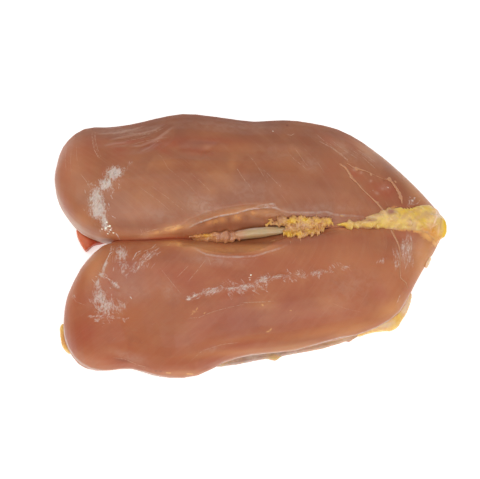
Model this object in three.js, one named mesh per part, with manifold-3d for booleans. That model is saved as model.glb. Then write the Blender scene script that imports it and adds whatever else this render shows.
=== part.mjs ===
// A raw, skinless double chicken breast, lying with its outer side up, in millimetres.
// The two lobes are the left and right breast muscles. They meet along the keel line, where keel cartilage
// and yellow fat lie in the hollow between them. +X runs along the keel to the pointed tail end, +Y to the
// far lobe and +Z up.

import * as THREE from "three";
import { mergeVertices } from "three/addons/utils/BufferGeometryUtils.js";
import Module from "manifold-3d";

const wasm = await Module();
wasm.setup();

// Driving sizes
const LENGTH = 188; // shoulder end to tail tip
const WIDTH = 130; // across both lobes
const THICKNESS = 33; // thickest place, in the shoulder third

const HALF_LENGTH = LENGTH / 2;
const HALF_WIDTH = WIDTH / 2;
const SEAM_GAP = 0.4; // between the two lobes along the keel line
const TOUCH_GAP = 0.3; // between other pieces that touch

// How finely the lobes are divided
const STATIONS = 42; // sections from end to end
const LATERAL_STEPS = 10; // of a section, from the outer edge to the crest
const MEDIAL_STEPS = 9; // from the crest to the keel line
const RIM_STEP = 4; // the medial step that lies on the edge of the keel hollow
const UNDER_STEPS = 9; // along the underside

// Places in plan are [x, y] in hundredths of the half length and of the half width.
const plan = ([x, y]) =>
  new THREE.Vector3((x / 100) * HALF_LENGTH, (y / 100) * HALF_WIDTH, 0);

// A smooth line of values along the length, from [hundredths of the half length, value] pairs.
function along(pairs, unit = 1) {
  const line = new THREE.CubicInterpolant(
    pairs.map(([x]) => x),
    pairs.map(([, value]) => value),
    1,
  );
  return (x) => line.evaluate((x / HALF_LENGTH) * 100)[0] * unit;
}

const seamY = along(
  [[-80, -2.6], [-43, -2.6], [-16, 1.3], [2, 4.7], [30, 7.4], [53, 11.3], [80, 12.9], [99, 14.4]],
  HALF_WIDTH / 100,
);

// The hollow over the keel, where the lobes part and the cartilage shows
const hollowDepth = along([
  [-37, 0], [-30, 2.5], [-22, 7], [-12, 10], [0, 11], [11, 10], [20, 6.5], [30, 3.5], [46, 1.6], [62, 0],
]);

const FAR_LOBE = {
  side: 1,
  shoulder: [-99.8, 51.5],
  tail: [99, 15.7],
  lateral: [
    [-96, 74.3], [-90, 84.7], [-83, 89.9], [-74.5, 90], [-60.5, 92.1], [-46, 97.1], [-32, 100], [-16, 97.1], [0, 94.3],
    [22, 95.4], [34, 92.9], [46, 88.6], [60.5, 76.4], [75.5, 58.5], [90.5, 36.7], [97, 24.8],
  ],
  medial: [[-98.5, 37.5], [-95.3, 26.2], [-92.2, 19.4], [-88.7, 12.6], [-83.6, 6.2], [-78.6, 2.6], [-73.5, -0.2]],
  crest: along(
    [[-100, 0.68], [-85, 0.82], [-58, 0.94], [-32, 1], [0, 0.92], [32, 0.77], [64, 0.55], [85, 0.36], [99, 0.25]],
    THICKNESS,
  ),
  rim: along([
    [-36, 2], [-30, 6.5], [-23, 9.5], [-13, 11.4], [0, 12.3], [8, 11.8], [15, 10], [21, 7.4], [30, 7], [48, 5], [66, 3],
  ]),
  furrows: [
    { from: [-66, 76], to: [-48, 70.6], depth: 2.2, spread: 4.5 },
    { from: [-48, 70.6], to: [-25, 64.6], depth: 2.8, spread: 5 },
    { from: [-25, 64.6], to: [24, 64], depth: 2.4, spread: 5 },
  ],
  dents: [
    { at: [-34, 84], depth: -1.6, spread: 9 },
    { at: [20, 80.7], depth: 1.2, spread: 4 },
    { at: [70, 37], depth: 1.2, spread: 8 },
    { at: [-76, 79], depth: 1.2, spread: 8 },
  ],
};

const NEAR_LOBE = {
  side: -1,
  shoulder: [-94.1, -59.5],
  tail: [97.8, 12.8],
  lateral: [
    [-93.6, -70], [-90.5, -80.5], [-86, -89], [-80, -93.3], [-70, -93.7], [-60.5, -92.9], [-48, -98.1], [-36, -100],
    [-26, -98], [-17.4, -91.5], [-6.8, -85.2], [6.8, -81.8], [21.5, -79.2], [35.6, -73.4], [52.3, -67.4], [63.4, -61.4],
    [70, -55.9], [76, -48.6], [81.4, -33.8], [86.3, -20], [90.7, -9.4], [94.6, 1],
  ],
  medial: [[-93.2, -46.2], [-91.4, -37.1], [-88.4, -28], [-84.8, -18.9], [-79.8, -10.4], [-75.4, -5.8], [-70.8, -3.4]],
  crest: along(
    [[-94, 0.64], [-80, 0.8], [-53, 0.95], [-32, 0.98], [0, 0.9], [32, 0.77], [58, 0.58], [80, 0.4], [98, 0.25]],
    THICKNESS,
  ),
  rim: along([
    [-36, 2], [-28, 4], [-23, 6.5], [-15, 9.5], [-5, 11.4], [4, 11.5], [11, 10], [15, 7.8], [20, 6.4], [30, 4.7],
    [48, 3.4], [66, 2.4],
  ]),
  furrows: [
    { from: [-72, -83.2], to: [-50, -90.2], depth: 1.4, spread: 2.6 },
    { from: [-20, -89], to: [-7, -62], depth: 1.8, spread: 6 },
  ],
  dents: [
    { at: [-40, -56.5], depth: 0.9, spread: 7 },
    { at: [-36, -86], depth: -1, spread: 9 },
    { at: [62, -36.7], depth: 0.8, spread: 8 },
  ],
};

// The form of a lobe's section. Shares of its width run from 0 at the keel line to 1 at the outer edge.
const CREST_SHARE = 0.37;
const EDGE_HEIGHT = 0.3; // of the widest place on the outer side, over the crest's height
const LATERAL_FULLNESS = 1.75; // 2 is an ellipse, and less is flatter
const MEDIAL_FULLNESS = 3.4;
const FLAT_SHARE = { lateral: 0.7, medial: 0.86 }; // of each half of the underside that lies flat
const SHOULDER_END = 0.13; // share of the length that the round shoulder end takes
const TAIL_END = 0.07;
const seamHeight = along([
  [-98, 0.32], [-86, 0.36], [-76, 0.45], [-66, 0.62], [-45, 0.7], [-25, 0.86], [0, 0.9], [60, 0.9], [99, 0.8],
]);

// 0 at either end of a lobe and 1 along its body, rising like a quarter circle.
function endRound(s) {
  const quarter = (share) => Math.sqrt(1 - (1 - Math.min(1, share)) ** 2);
  return quarter(s / SHOULDER_END) * quarter((1 - s) / TAIL_END);
}

// Low forms of the outer surface, in millimetres up or down.
function relief(lobe, point) {
  let height = 0;
  for (const { from, to, depth, spread } of lobe.furrows) {
    const nearest = new THREE.Line3(plan(from), plan(to)).closestPointToPoint(point, true, new THREE.Vector3());
    height -= depth * Math.exp(-((nearest.distanceTo(point) / spread) ** 2));
  }
  for (const { at, depth, spread } of lobe.dents)
    height -= depth * Math.exp(-((plan(at).distanceTo(point) / spread) ** 2));
  return height;
}

// One closed ring of points around a lobe, at share s of its length.
function sectionRing(lobe, s, medialEdge, lateralEdge) {
  const x = THREE.MathUtils.lerp(medialEdge.x, lateralEdge.x, CREST_SHARE);
  const width = medialEdge.distanceTo(lateralEdge);
  const round = endRound(s);
  const edge = EDGE_HEIGHT * lobe.crest(x);
  const crest = THREE.MathUtils.lerp(edge, lobe.crest(x), round);
  const seam = THREE.MathUtils.lerp(edge, seamHeight(x) * lobe.crest(x), round);
  const floor = THREE.MathUtils.lerp(edge, 0, Math.sqrt(round));
  const rimShare = Math.min(0.9 * CREST_SHARE, lobe.rim(x) / width);
  const depth = Math.max(0, hollowDepth(x));

  const topHeight = (share, point) => {
    if (share >= CREST_SHARE) {
      const out = (share - CREST_SHARE) / (1 - CREST_SHARE);
      const rise = (1 - out ** 2) ** (1 / LATERAL_FULLNESS);
      return edge + (crest - edge) * rise + relief(lobe, point) * rise * round;
    }
    const out = 1 - share / CREST_SHARE;
    const rise = (1 - out ** MEDIAL_FULLNESS) ** (1 / MEDIAL_FULLNESS);
    const hollow = share < rimShare ? depth * (1 - (share / rimShare) ** 1.5) : 0;
    return seam + (crest - seam) * rise + relief(lobe, point) * round - hollow;
  };

  const ring = [];
  const add = (share, heightAt) => {
    const point = medialEdge.clone().lerp(lateralEdge, share);
    ring.push(new THREE.Vector3(point.x, point.y, heightAt(share, point)));
  };
  for (let i = 0; i < LATERAL_STEPS; i++) {
    const turn = (Math.PI / 2) * (i / LATERAL_STEPS);
    add(CREST_SHARE + (1 - CREST_SHARE) * Math.cos(turn), topHeight);
  }
  const medialShare = (i) => CREST_SHARE * (1 - Math.sin((Math.PI / 2) * (i / MEDIAL_STEPS)));
  const plainRim = medialShare(MEDIAL_STEPS - RIM_STEP);
  const rim = Math.max(plainRim, rimShare);
  for (let i = 0; i <= MEDIAL_STEPS; i++) {
    const share = medialShare(i);
    add(
      share < plainRim
        ? (share * rim) / plainRim
        : THREE.MathUtils.mapLinear(share, plainRim, CREST_SHARE, rim, CREST_SHARE),
      topHeight,
    );
  }
  const seamTop = ring[ring.length - 1].z;
  for (let i = 1; i < UNDER_STEPS; i++) {
    const across = -Math.cos((Math.PI * i) / UNDER_STEPS);
    const [flat, top] = across < 0 ? [FLAT_SHARE.medial, seamTop] : [FLAT_SHARE.lateral, edge];
    const lift = Math.max(0, (Math.abs(across) - flat) / (1 - flat)) ** 2;
    add((1 + across) / 2, () => THREE.MathUtils.lerp(floor, top, lift));
  }
  return lobe.side > 0 ? ring : ring.reverse();
}

// Rings of points joined end to end into a closed skin, with one point at each end.
function loft(start, rings, end) {
  const points = [start, ...rings.flat(), end];
  const size = rings[0].length;
  const index = (ring, step) => 1 + ring * size + (step % size);
  const faces = [];
  for (let step = 0; step < size; step++) {
    faces.push(0, index(0, step + 1), index(0, step));
    for (let ring = 0; ring < rings.length - 1; ring++) {
      const [a, b] = [index(ring, step), index(ring, step + 1)];
      const [c, d] = [index(ring + 1, step), index(ring + 1, step + 1)];
      faces.push(a, b, c, b, d, c);
    }
    faces.push(points.length - 1, index(rings.length - 1, step), index(rings.length - 1, step + 1));
  }
  const geometry = new THREE.BufferGeometry().setFromPoints(points);
  geometry.setIndex(faces);
  return geometry;
}

const smoothCurve = (places, closed = false) =>
  new THREE.CatmullRomCurve3(places, closed, "centripetal");

// A lobe's skin, between two plan curves that both run from its shoulder end to its tail end.
function lobeGeometry(lobe) {
  const seam = [];
  for (let x = -66; x <= 92; x += 6) {
    const point = plan([x, 0]);
    seam.push(point.setY(seamY(point.x) + (lobe.side * SEAM_GAP) / 2));
  }
  const [shoulder, tail] = [plan(lobe.shoulder), plan(lobe.tail)];
  const lateral = smoothCurve([shoulder, ...lobe.lateral.map(plan), tail]);
  const medial = smoothCurve([shoulder, ...lobe.medial.map(plan), ...seam, tail]);
  const rings = [];
  for (let i = 1; i < STATIONS; i++) {
    const t = i / STATIONS;
    const s = 0.45 * t + 0.55 * (0.5 - 0.5 * Math.cos(Math.PI * t)); // closer together at the ends
    rings.push(sectionRing(lobe, s, medial.getPointAt(s), lateral.getPointAt(s)));
  }
  const atEdge = (place) => place.clone().setZ(EDGE_HEIGHT * lobe.crest(place.x));
  return loft(atEdge(shoulder), rings, atEdge(tail));
}

// A geometry moved out along its own normals.
function grown(geometry, by) {
  const larger = geometry.clone();
  larger.computeVertexNormals();
  const { position, normal } = larger.attributes;
  for (let i = 0; i < position.count; i++)
    position.setXYZ(
      i,
      position.getX(i) + by * normal.getX(i),
      position.getY(i) + by * normal.getY(i),
      position.getZ(i) + by * normal.getZ(i),
    );
  return larger;
}

function solidFrom(geometry) {
  const bare = geometry.clone();
  bare.deleteAttribute("normal");
  bare.deleteAttribute("uv");
  const merged = mergeVertices(bare, 1e-4);
  return new wasm.Manifold(
    new wasm.Mesh({
      numProp: 3,
      vertProperties: merged.attributes.position.array,
      triVerts: new Uint32Array(merged.index.array),
    }),
  );
}

// The largest body of a cut solid, as a geometry. Scraps that the cut leaves are dropped.
function geometryFrom(solid) {
  const [largest] = solid.decompose().sort((a, b) => b.volume() - a.volume());
  const { vertProperties, triVerts } = largest.getMesh();
  const geometry = new THREE.BufferGeometry();
  geometry.setAttribute("position", new THREE.BufferAttribute(new Float32Array(vertProperties), 3));
  geometry.setIndex(Array.from(triVerts));
  return geometry;
}

const farLobe = lobeGeometry(FAR_LOBE);
const nearLobe = lobeGeometry(NEAR_LOBE);
const lobeRoom = solidFrom(grown(farLobe, TOUCH_GAP)).add(solidFrom(grown(nearLobe, TOUCH_GAP)));

const SKIRT_HEIGHT = 3; // stands for the height of the surface beyond the lobes

// The height of the lobes' outer surface at a place, taken on either side of it too so that the seam is bridged.
const lobeSkins = [farLobe, nearLobe].map((skin) => new THREE.Mesh(skin));
const downwards = new THREE.Raycaster();
function surfaceHeight(x, y) {
  const heights = [-0.6, 0, 0.6].map((aside) => {
    downwards.set(new THREE.Vector3(x, y + aside, 2 * THICKNESS), new THREE.Vector3(0, 0, -1));
    const [hit] = downwards.intersectObjects(lobeSkins);
    return hit ? hit.point.z : SKIRT_HEIGHT;
  });
  return Math.max(...heights);
}

// Random numbers that are the same each time.
function seeded(seed) {
  let state = seed;
  return () => {
    state = (state * 1664525 + 1013904223) % 4294967296;
    return state / 4294967296;
  };
}

// A path over the lobes through stops of [x, y, half width, height over the meat], with x and y in plan.
function stopPath(stops) {
  const path = smoothCurve(stops.map(plan));
  return (t) => {
    const at = t * (stops.length - 1);
    const i = Math.min(stops.length - 2, Math.floor(at));
    const [halfWidth, height] = [2, 3].map((k) => THREE.MathUtils.lerp(stops[i][k], stops[i + 1][k], at - i));
    const { x, y } = path.getTangent(t);
    return { place: path.getPoint(t), aside: new THREE.Vector3(-y, x, 0).normalize(), halfWidth, height };
  };
}

// A closed strip that follows such a path, sunk a little into the meat. Its skin is uneven by a share, rough.
function stripSolid(stops, { rings, sides, sink = 1.5, rough = 0.1 }) {
  const random = seeded(rings * sides);
  const pathAt = stopPath(stops);
  const skins = [];
  for (let i = 1; i < rings; i++) {
    const { place, aside, halfWidth, height } = pathAt(i / rings);
    skins.push(
      Array.from({ length: sides }, (_, k) => {
        const turn = (2 * Math.PI * k) / sides;
        const uneven = 1 + rough * (2 * random() - 1);
        const point = place.clone().addScaledVector(aside, uneven * halfWidth * Math.cos(turn));
        const rise = uneven * Math.sin(turn) * (Math.sin(turn) > 0 ? height : sink);
        return point.setZ(surfaceHeight(point.x, point.y) + rise);
      }),
    );
  }
  const onMeat = ({ place: { x, y } }) => new THREE.Vector3(x, y, surfaceHeight(x, y));
  return solidFrom(loft(onMeat(pathAt(0)), skins, onMeat(pathAt(1))));
}

// A small ball with flat facets: half sizes along X, Y and Z about a centre.
function lump(centre, halfSizes, turn = 0) {
  const ball = new THREE.IcosahedronGeometry(1, 1);
  ball.rotateZ(turn);
  ball.scale(...halfSizes);
  ball.translate(centre.x, centre.y, centre.z);
  return solidFrom(ball);
}

const lumpAt = ({ at, halfSizes, height }) => lump(plan(at).setZ(height), halfSizes);

// Lumps strewn over a strip.
function lumpsOver(stops, { count, size, seed }) {
  const random = seeded(seed);
  const pathAt = stopPath(stops);
  const lumps = [];
  for (let i = 0; i < count; i++) {
    const { place, aside, halfWidth, height } = pathAt((i + random()) / count);
    const share = 2 * random() - 1;
    const centre = place.addScaledVector(aside, share * halfWidth * 0.85);
    const radius = Math.min(size, 0.5 + 0.7 * halfWidth) * (0.7 + 0.6 * random());
    const rise = radius * 0.75;
    centre.z = surfaceHeight(centre.x, centre.y) + height * Math.sqrt(1 - share ** 2) - rise * 0.35;
    lumps.push(lump(centre, [radius * (1 + 0.6 * random()), radius, rise], 2 * Math.PI * random()));
  }
  return lumps;
}

const joined = (solids) => solids.reduce((whole, solid) => whole.add(solid));

// The strip of keel cartilage that lies bare in the hollow
const CARTILAGE = { from: -8.5, to: 26, halfWidth: 2.5, halfHeight: 2.9, lift: 1.6 };

function cartilageSolid(grow = 0) {
  const { from, to, halfWidth, halfHeight, lift } = CARTILAGE;
  const [start, end] = [plan([from, 0]).x, plan([to, 0]).x];
  const strip = new THREE.SphereGeometry(1, 20, 12);
  strip.rotateZ(Math.PI / 2);
  const { position } = strip.attributes;
  const point = new THREE.Vector3();
  for (let i = 0; i < position.count; i++) {
    point.fromBufferAttribute(position, i);
    const x = (start + end) / 2 + point.x * ((end - start) / 2 + grow);
    const full = (1 - Math.min(1, Math.abs(point.x)) ** 5) ** 0.2 / Math.max(0.05, Math.hypot(point.y, point.z));
    const y = seamY(x) + point.y * full * (halfWidth + grow);
    const z = surfaceHeight(0, seamY(0) + 1) + lift + point.z * full * (halfHeight + grow);
    position.setXYZ(i, x, Math.abs(point.x) > 0.999 ? seamY(x) : y, z);
  }
  return solidFrom(strip);
}

// Paths of the fat and the strings of tissue
const KEEL_STRAND = [
  [-31, -0.9, 0.3, 0.5], [-27.5, -0.3, 0.9, 1.4], [-24.8, 0.1, 0.8, 1.3], [-21.5, 0.6, 1.6, 2.4], [-19.6, 0.9, 1.3, 2.1],
  [-16.8, 1.2, 2.3, 3.3], [-14.6, 1.5, 1.9, 3.1], [-12, 2, 2.6, 4], [-9.5, 2.6, 2, 3.6],
];
const KEEL_FAT = [
  [8.5, 14, 0.8, 1.4], [14, 10.8, 2.4, 2.4], [19, 7.3, 4.8, 2.8], [25, 7.5, 5.4, 2.9], [31, 8.8, 4.6, 2.6],
  [36, 10.4, 2.8, 2], [41, 11.3, 0.8, 1.2],
];
const TAIL_FAT = [
  [43.5, 11.2, 0.6, 1], [49, 11.7, 1.7, 1.3], [54, 12, 1.4, 1.2], [62, 14, 3.2, 1.5], [70.5, 17.5, 5, 1.8],
  [80, 19.8, 5.9, 1.9], [88, 20, 6.6, 2], [93, 17.5, 6.4, 2], [96, 15.5, 5, 2],
];
const TAIL_CAP = { at: [95.2, 15], halfSizes: [4.6, 6.8, 5.2], height: 6 };
const SIDE_FAT = { at: [89.3, -10.8], halfSizes: [1.7, 2.4, 1.6], height: 3.4 };
const TENDONS = {
  tendon_long: [
    [44.5, 66, 0.4, 0.6], [50, 58, 0.6, 0.9], [56, 47.5, 0.6, 0.9], [63.5, 32, 0.6, 0.9], [68.5, 23.5, 0.5, 0.8],
  ],
  tendon_short: [
    [50, 66.5, 0.4, 0.6], [58, 61.5, 0.6, 0.9], [64, 55, 0.6, 0.9], [70, 53, 1, 1.2], [73, 46, 0.5, 0.8], [76, 38.5, 0.4, 0.6],
  ],
  tendon_near: [
    [72, 6, 0.4, 0.6], [76.5, -17, 0.5, 0.8], [75.5, -27, 0.6, 0.8], [78.5, -31.5, 0.6, 0.8], [80.4, -35, 0.4, 0.5],
  ],
};

// Thin pieces that lie flat and are tucked under a lobe's round edge
const MEAT_FLAP = [
  [-88.7, 15.8], [-87.8, 8.3], [-86.3, 3.9], [-84.6, -0.4], [-83.4, -1.9], [-81.5, 0.5], [-79.4, 2.6], [-75, 4.5],
  [-71, 6], [-71, 14], [-80, 26], [-87, 24],
];
const SHOULDER_FAT = [
  [-94, -57.7], [-95.3, -60.3], [-95.1, -65.4], [-94.3, -71.9], [-92.8, -75.6], [-91, -77.4], [-87, -74], [-88, -60],
];
const UNDER_LAYER = [
  [-17.4, -88.2], [-3.3, -85.7], [7.8, -82.5], [12.5, -83.8], [16.4, -80.4], [21.5, -78.8], [34, -75.6], [41.2, -72.6],
  [48.5, -69.2], [51.6, -66.6], [50, -60], [30, -68], [10, -74], [-6, -79],
];
const FLANK_FAT = [
  [53.8, -65.9], [61.1, -63.2], [67.9, -61.8], [70.8, -61.8], [74.5, -58.6], [76.5, -53.8], [79.1, -48.2], [81.3, -39],
  [81.4, -33], [76, -36], [72, -46], [64, -54], [56, -58],
];

function tucked(outline, thickness, bevel) {
  const edge = smoothCurve(outline.map(plan), true);
  const piece = new THREE.ExtrudeGeometry(new THREE.Shape(edge.getPoints(3 * outline.length).slice(1)), {
    depth: thickness - 2 * bevel,
    bevelThickness: bevel,
    bevelSize: bevel,
    bevelOffset: -bevel,
    bevelSegments: 2,
  });
  piece.translate(0, 0, bevel);
  return solidFrom(piece);
}

const meat = { color: "#b0765a", roughness: 0.35, metalness: 0 };
const fat = { color: "#dda75a", roughness: 0.45, metalness: 0 };
const FINISHES = {
  meat,
  fat,
  redMeat: { ...meat, color: "#bb6444" },
  paleFat: { ...fat, color: "#e6c079" },
  film: { ...meat, color: "#b3937f" },
  cartilage: { color: "#b8a07a", roughness: 0.25, metalness: 0 },
};

const breast = new THREE.Group();
breast.name = "raw_double_chicken_breast";

function addPiece(name, geometry, finish) {
  const piece = new THREE.Mesh(geometry, new THREE.MeshStandardMaterial(FINISHES[finish]));
  piece.name = name;
  breast.add(piece);
}

// Every piece is cut back from the pieces it lies on or against.
const cartilageRoom = cartilageSolid(TOUCH_GAP);
const strand = stripSolid(KEEL_STRAND, { rings: 18, sides: 9 });
const keelFat = joined([
  stripSolid(KEEL_FAT, { rings: 15, sides: 10, rough: 0.2 }),
  ...lumpsOver(KEEL_FAT, { count: 22, size: 1.6, seed: 11 }),
]);
const tailFat = joined([
  stripSolid(TAIL_FAT, { rings: 26, sides: 12, rough: 0.1 }),
  ...lumpsOver(TAIL_FAT, { count: 13, size: 2.6, seed: 23 }),
  lumpAt(TAIL_CAP),
])
  .subtract(lobeRoom)
  .trimByPlane([0, 0, 1], 0);
const fatRoom = solidFrom(grown(geometryFrom(tailFat), TOUCH_GAP));
const flankFat = tucked(FLANK_FAT, 3.6, 0.8);
const flankRoom = solidFrom(grown(geometryFrom(flankFat), TOUCH_GAP));

addPiece("lobe_far", farLobe, "meat");
addPiece("lobe_near", nearLobe, "meat");
addPiece("keel_cartilage", geometryFrom(cartilageSolid().subtract(lobeRoom)), "cartilage");
addPiece("keel_strand", geometryFrom(strand.subtract(lobeRoom).subtract(cartilageRoom)), "fat");
addPiece("keel_fat", geometryFrom(keelFat.subtract(lobeRoom).subtract(cartilageRoom).subtract(fatRoom)), "fat");
addPiece("tail_fat", geometryFrom(tailFat), "paleFat");
for (const [name, stops] of Object.entries(TENDONS)) {
  const tendon = stripSolid(stops, { rings: 16, sides: 6, sink: 1 });
  addPiece(name, geometryFrom(tendon.subtract(lobeRoom).subtract(fatRoom)), "paleFat");
}
addPiece("meat_flap", geometryFrom(tucked(MEAT_FLAP, 5.5, 0.6).subtract(lobeRoom)), "redMeat");
addPiece("shoulder_fat", geometryFrom(tucked(SHOULDER_FAT, 5, 1).subtract(lobeRoom)), "fat");
addPiece("under_layer", geometryFrom(tucked(UNDER_LAYER, 2.4, 0.6).subtract(lobeRoom).subtract(flankRoom)), "film");
addPiece("flank_fat", geometryFrom(flankFat.subtract(lobeRoom)), "fat");
addPiece("side_fat", geometryFrom(lumpAt(SIDE_FAT).subtract(lobeRoom)), "fat");

export default breast;
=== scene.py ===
# %% [markdown]
# # A raw chicken breast
# The object is a whole skinless breast: two long muscles side by side, with a bare strip of keel
# cartilage in the seam between them and yellow fat from there to the pointed tail. The imported CAD
# solids give every piece its place and size. This script gives them wet meat, fibres, membrane and
# fat. It starts by loading the frame.

# %% Load the frame
import random

import bmesh
import bpy
import numpy as np
from mathutils import Matrix, Quaternion, Vector, noise
from mathutils.bvhtree import BVHTree


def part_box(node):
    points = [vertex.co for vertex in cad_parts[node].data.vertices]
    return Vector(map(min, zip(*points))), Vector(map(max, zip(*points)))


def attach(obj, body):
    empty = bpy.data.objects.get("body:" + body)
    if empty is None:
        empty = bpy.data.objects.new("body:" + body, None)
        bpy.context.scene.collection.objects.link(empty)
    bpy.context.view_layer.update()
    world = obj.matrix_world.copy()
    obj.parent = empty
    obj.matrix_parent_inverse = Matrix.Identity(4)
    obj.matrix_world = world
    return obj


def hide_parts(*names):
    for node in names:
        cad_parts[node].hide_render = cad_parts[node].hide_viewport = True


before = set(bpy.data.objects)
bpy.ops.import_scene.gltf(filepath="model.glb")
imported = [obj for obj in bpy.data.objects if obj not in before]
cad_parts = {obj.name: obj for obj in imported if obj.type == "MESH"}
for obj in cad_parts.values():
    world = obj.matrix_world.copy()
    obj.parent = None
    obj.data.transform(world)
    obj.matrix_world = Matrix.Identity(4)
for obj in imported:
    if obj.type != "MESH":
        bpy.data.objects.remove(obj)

scene = bpy.context.scene
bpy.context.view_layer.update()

# %% [markdown]
# Small things such as a tendon or a speck of fat are placed where the picture shows them. The
# picture was taken from the front, 75 degrees above the table, from far away. So one straight
# line of sight goes through each of its pixels, and a piece lies where that line first meets the
# meat. That keeps it on its carrier from every side, which a height typed by hand wouldn't.

# %% Lines of sight
SIGHT = Vector((0, 0.2588, -0.9659))
ACROSS = Vector((1, 0, 0))
UPWARD = Vector((0, 0.9659, 0.2588))
PIXEL = 0.000475  # metres across one pixel
MIDDLE = (250.5, 250.3)  # the pixel that shows the frame's origin
FAR_OFF = 0.3  # how far in front of the origin a line of sight starts
NEAR_MISS = 0.29  # how far along a line that misses the meat the nearest meat is looked for


def in_plane(u, v):
    """Where pixel u, v lies in the plane through the origin that faces the camera."""
    return ACROSS * ((u - MIDDLE[0]) * PIXEL) + UPWARD * ((MIDDLE[1] - v) * PIXEL)


def sight_start(u, v):
    """A point far above the table on the line of sight through pixel u, v."""
    return in_plane(u, v) - SIGHT * FAR_OFF


def seen_at(points):
    """The pixels in which points of an (n, 3) array are seen, as an (n, 2) array."""
    u = points @ np.array(ACROSS) / PIXEL + MIDDLE[0]
    v = MIDDLE[1] - points @ np.array(UPWARD) / PIXEL
    return np.stack([u, v], axis=1)


def merged_copy(nodes):
    """A bmesh with copies of CAD nodes, their loose triangles joined and facing outwards."""
    bm = bmesh.new()
    for node in nodes:
        bm.from_mesh(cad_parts[node].data)
    bmesh.ops.remove_doubles(bm, verts=bm.verts, dist=1e-6)
    bmesh.ops.recalc_face_normals(bm, faces=bm.faces)
    return bm


LOBES = ("lobe_far", "lobe_near")
lobe_copy = merged_copy(LOBES)
lobe_surface = BVHTree.FromBMesh(lobe_copy)
print("faces of the two lobes:", len(lobe_copy.faces))
lobe_copy.free()


def on_meat(u, v, proud=0.0):
    """Where the line of sight meets the lobes, lifted proud metres off them, and the normal."""
    place, normal, _, _ = lobe_surface.ray_cast(sight_start(u, v), SIGHT)
    if place is None:
        place, normal, _, _ = lobe_surface.find_nearest(sight_start(u, v) + SIGHT * NEAR_MISS)
    if normal.dot(SIGHT) > 0:
        normal = -normal
    return place + normal * proud, normal


solid_surfaces = {}
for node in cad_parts:
    node_copy = merged_copy([node])
    solid_surfaces[node] = BVHTree.FromBMesh(node_copy)
    node_copy.free()


def gaps_to(places, nodes, reach=0.004):
    """How far each place is from the nearest of some CAD solids, and the way there."""
    gap = np.full(len(places), reach)
    towards = np.zeros((len(places), 3))
    for node in nodes:
        low, high = (np.array(corner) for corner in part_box(node))
        close = np.all((places > low - reach) & (places < high + reach), axis=1)
        for i in np.nonzero(close)[0]:
            found, _, _, distance = solid_surfaces[node].find_nearest(Vector(places[i]), reach)
            if found is not None and distance < gap[i]:
                gap[i], towards[i] = distance, np.array(found) - places[i]
    return gap, towards


print("under the cartilage the meat is at", [round(c, 4) for c in on_meat(255, 234)[0]])

# %% [markdown]
# Soft tissue has no flat faces or hard edges. A voxel remesh turns any closed shape, or many
# shapes that overlap, into one even skin, and a few rounds of smoothing melt the seams. It suits
# meat and fat better than a subdivision surface, which needs a tidy mesh to start from. Relief is
# then modelled on that skin by moving its points along their normals, as a sculptor would.

# %% Skins and relief
def drop_specks(bm, fewest=50):
    """Deletes the loose specks that a remesh leaves, shells of fewer than fewest faces."""
    unseen, specks = set(bm.faces), []
    while unseen:
        front, shell = [unseen.pop()], []
        while front:
            face = front.pop()
            shell.append(face)
            beside = {other for edge in face.edges for other in edge.link_faces} & unseen
            unseen -= beside
            front += beside
        if len(shell) < fewest:
            specks += shell
    bmesh.ops.delete(bm, geom=specks, context="FACES")


def skin(name, bm, voxel, rounds):
    """Remeshes a bmesh of closed shapes into one even skin and smooths it a number of rounds."""
    rough = bpy.data.meshes.new(name + "_rough")
    bm.to_mesh(rough)
    bm.free()
    carrier = bpy.data.objects.new(name + "_rough", rough)
    scene.collection.objects.link(carrier)
    remesh = carrier.modifiers.new("Voxels", "REMESH")
    remesh.mode, remesh.voxel_size = "VOXEL", voxel
    evaluated = carrier.evaluated_get(bpy.context.evaluated_depsgraph_get())
    mesh = bpy.data.meshes.new_from_object(evaluated)
    bpy.data.objects.remove(carrier)
    bpy.data.meshes.remove(rough)
    mesh.name = name
    bm = bmesh.new()
    bm.from_mesh(mesh)
    drop_specks(bm)
    for _ in range(rounds):
        bmesh.ops.smooth_vert(
            bm, verts=bm.verts, factor=0.5, use_axis_x=True, use_axis_y=True, use_axis_z=True
        )
    bm.to_mesh(mesh)
    bm.free()
    mesh.shade_smooth()
    piece = bpy.data.objects.new(name, mesh)
    scene.collection.objects.link(piece)
    return piece


def points_of(piece):
    """The places and the normals of a piece's points, as two (n, 3) arrays."""
    mesh = piece.data
    mesh.update()
    places = np.zeros(len(mesh.vertices) * 3)
    normals = np.zeros(len(mesh.vertices) * 3)
    mesh.vertices.foreach_get("co", places)
    mesh.vertices.foreach_get("normal", normals)
    return places.reshape(-1, 3), normals.reshape(-1, 3)


def move_points(piece, places, floor=0.0002):
    """Puts a piece's points at new places, none of them under the table."""
    places = places.copy()
    places[:, 2] = np.maximum(places[:, 2], floor)
    piece.data.vertices.foreach_set("co", places.ravel())
    piece.data.update()


SEED_STEPS = (7.3, 3.1, 5.7)  # each seed reads the noise at a place of its own
PAST_TOUCH = 1.05  # drawn points go a little way into what they cling to


def sideways(piece, level):
    """How far each point faces sideways or down, 0 where its normal's z is above a level."""
    return np.clip((level - points_of(piece)[1][:, 2]) / 0.5, 0, 1)


def ripple(places, size, seed):
    """Smooth noise from about -1 to 1 at each place, with bumps about size metres wide."""
    shift = Vector([seed * step for step in SEED_STEPS])
    return np.array([noise.noise(Vector(p) / size + shift) for p in places])


def cling(piece, nodes, near=0.0014, far=0.0022):
    """Draws the points that face some CAD solids close by onto them, to leave no dark gap."""
    places, normals = points_of(piece)
    gap, towards = gaps_to(places, nodes)
    facing = np.clip(np.sum(normals * towards, axis=1) / np.maximum(gap, 1e-6) * 2, 0, 1)
    share = PAST_TOUCH * facing * np.clip((far - gap) / (far - near), 0, 1)
    move_points(piece, places + towards * share[:, None])


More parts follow.
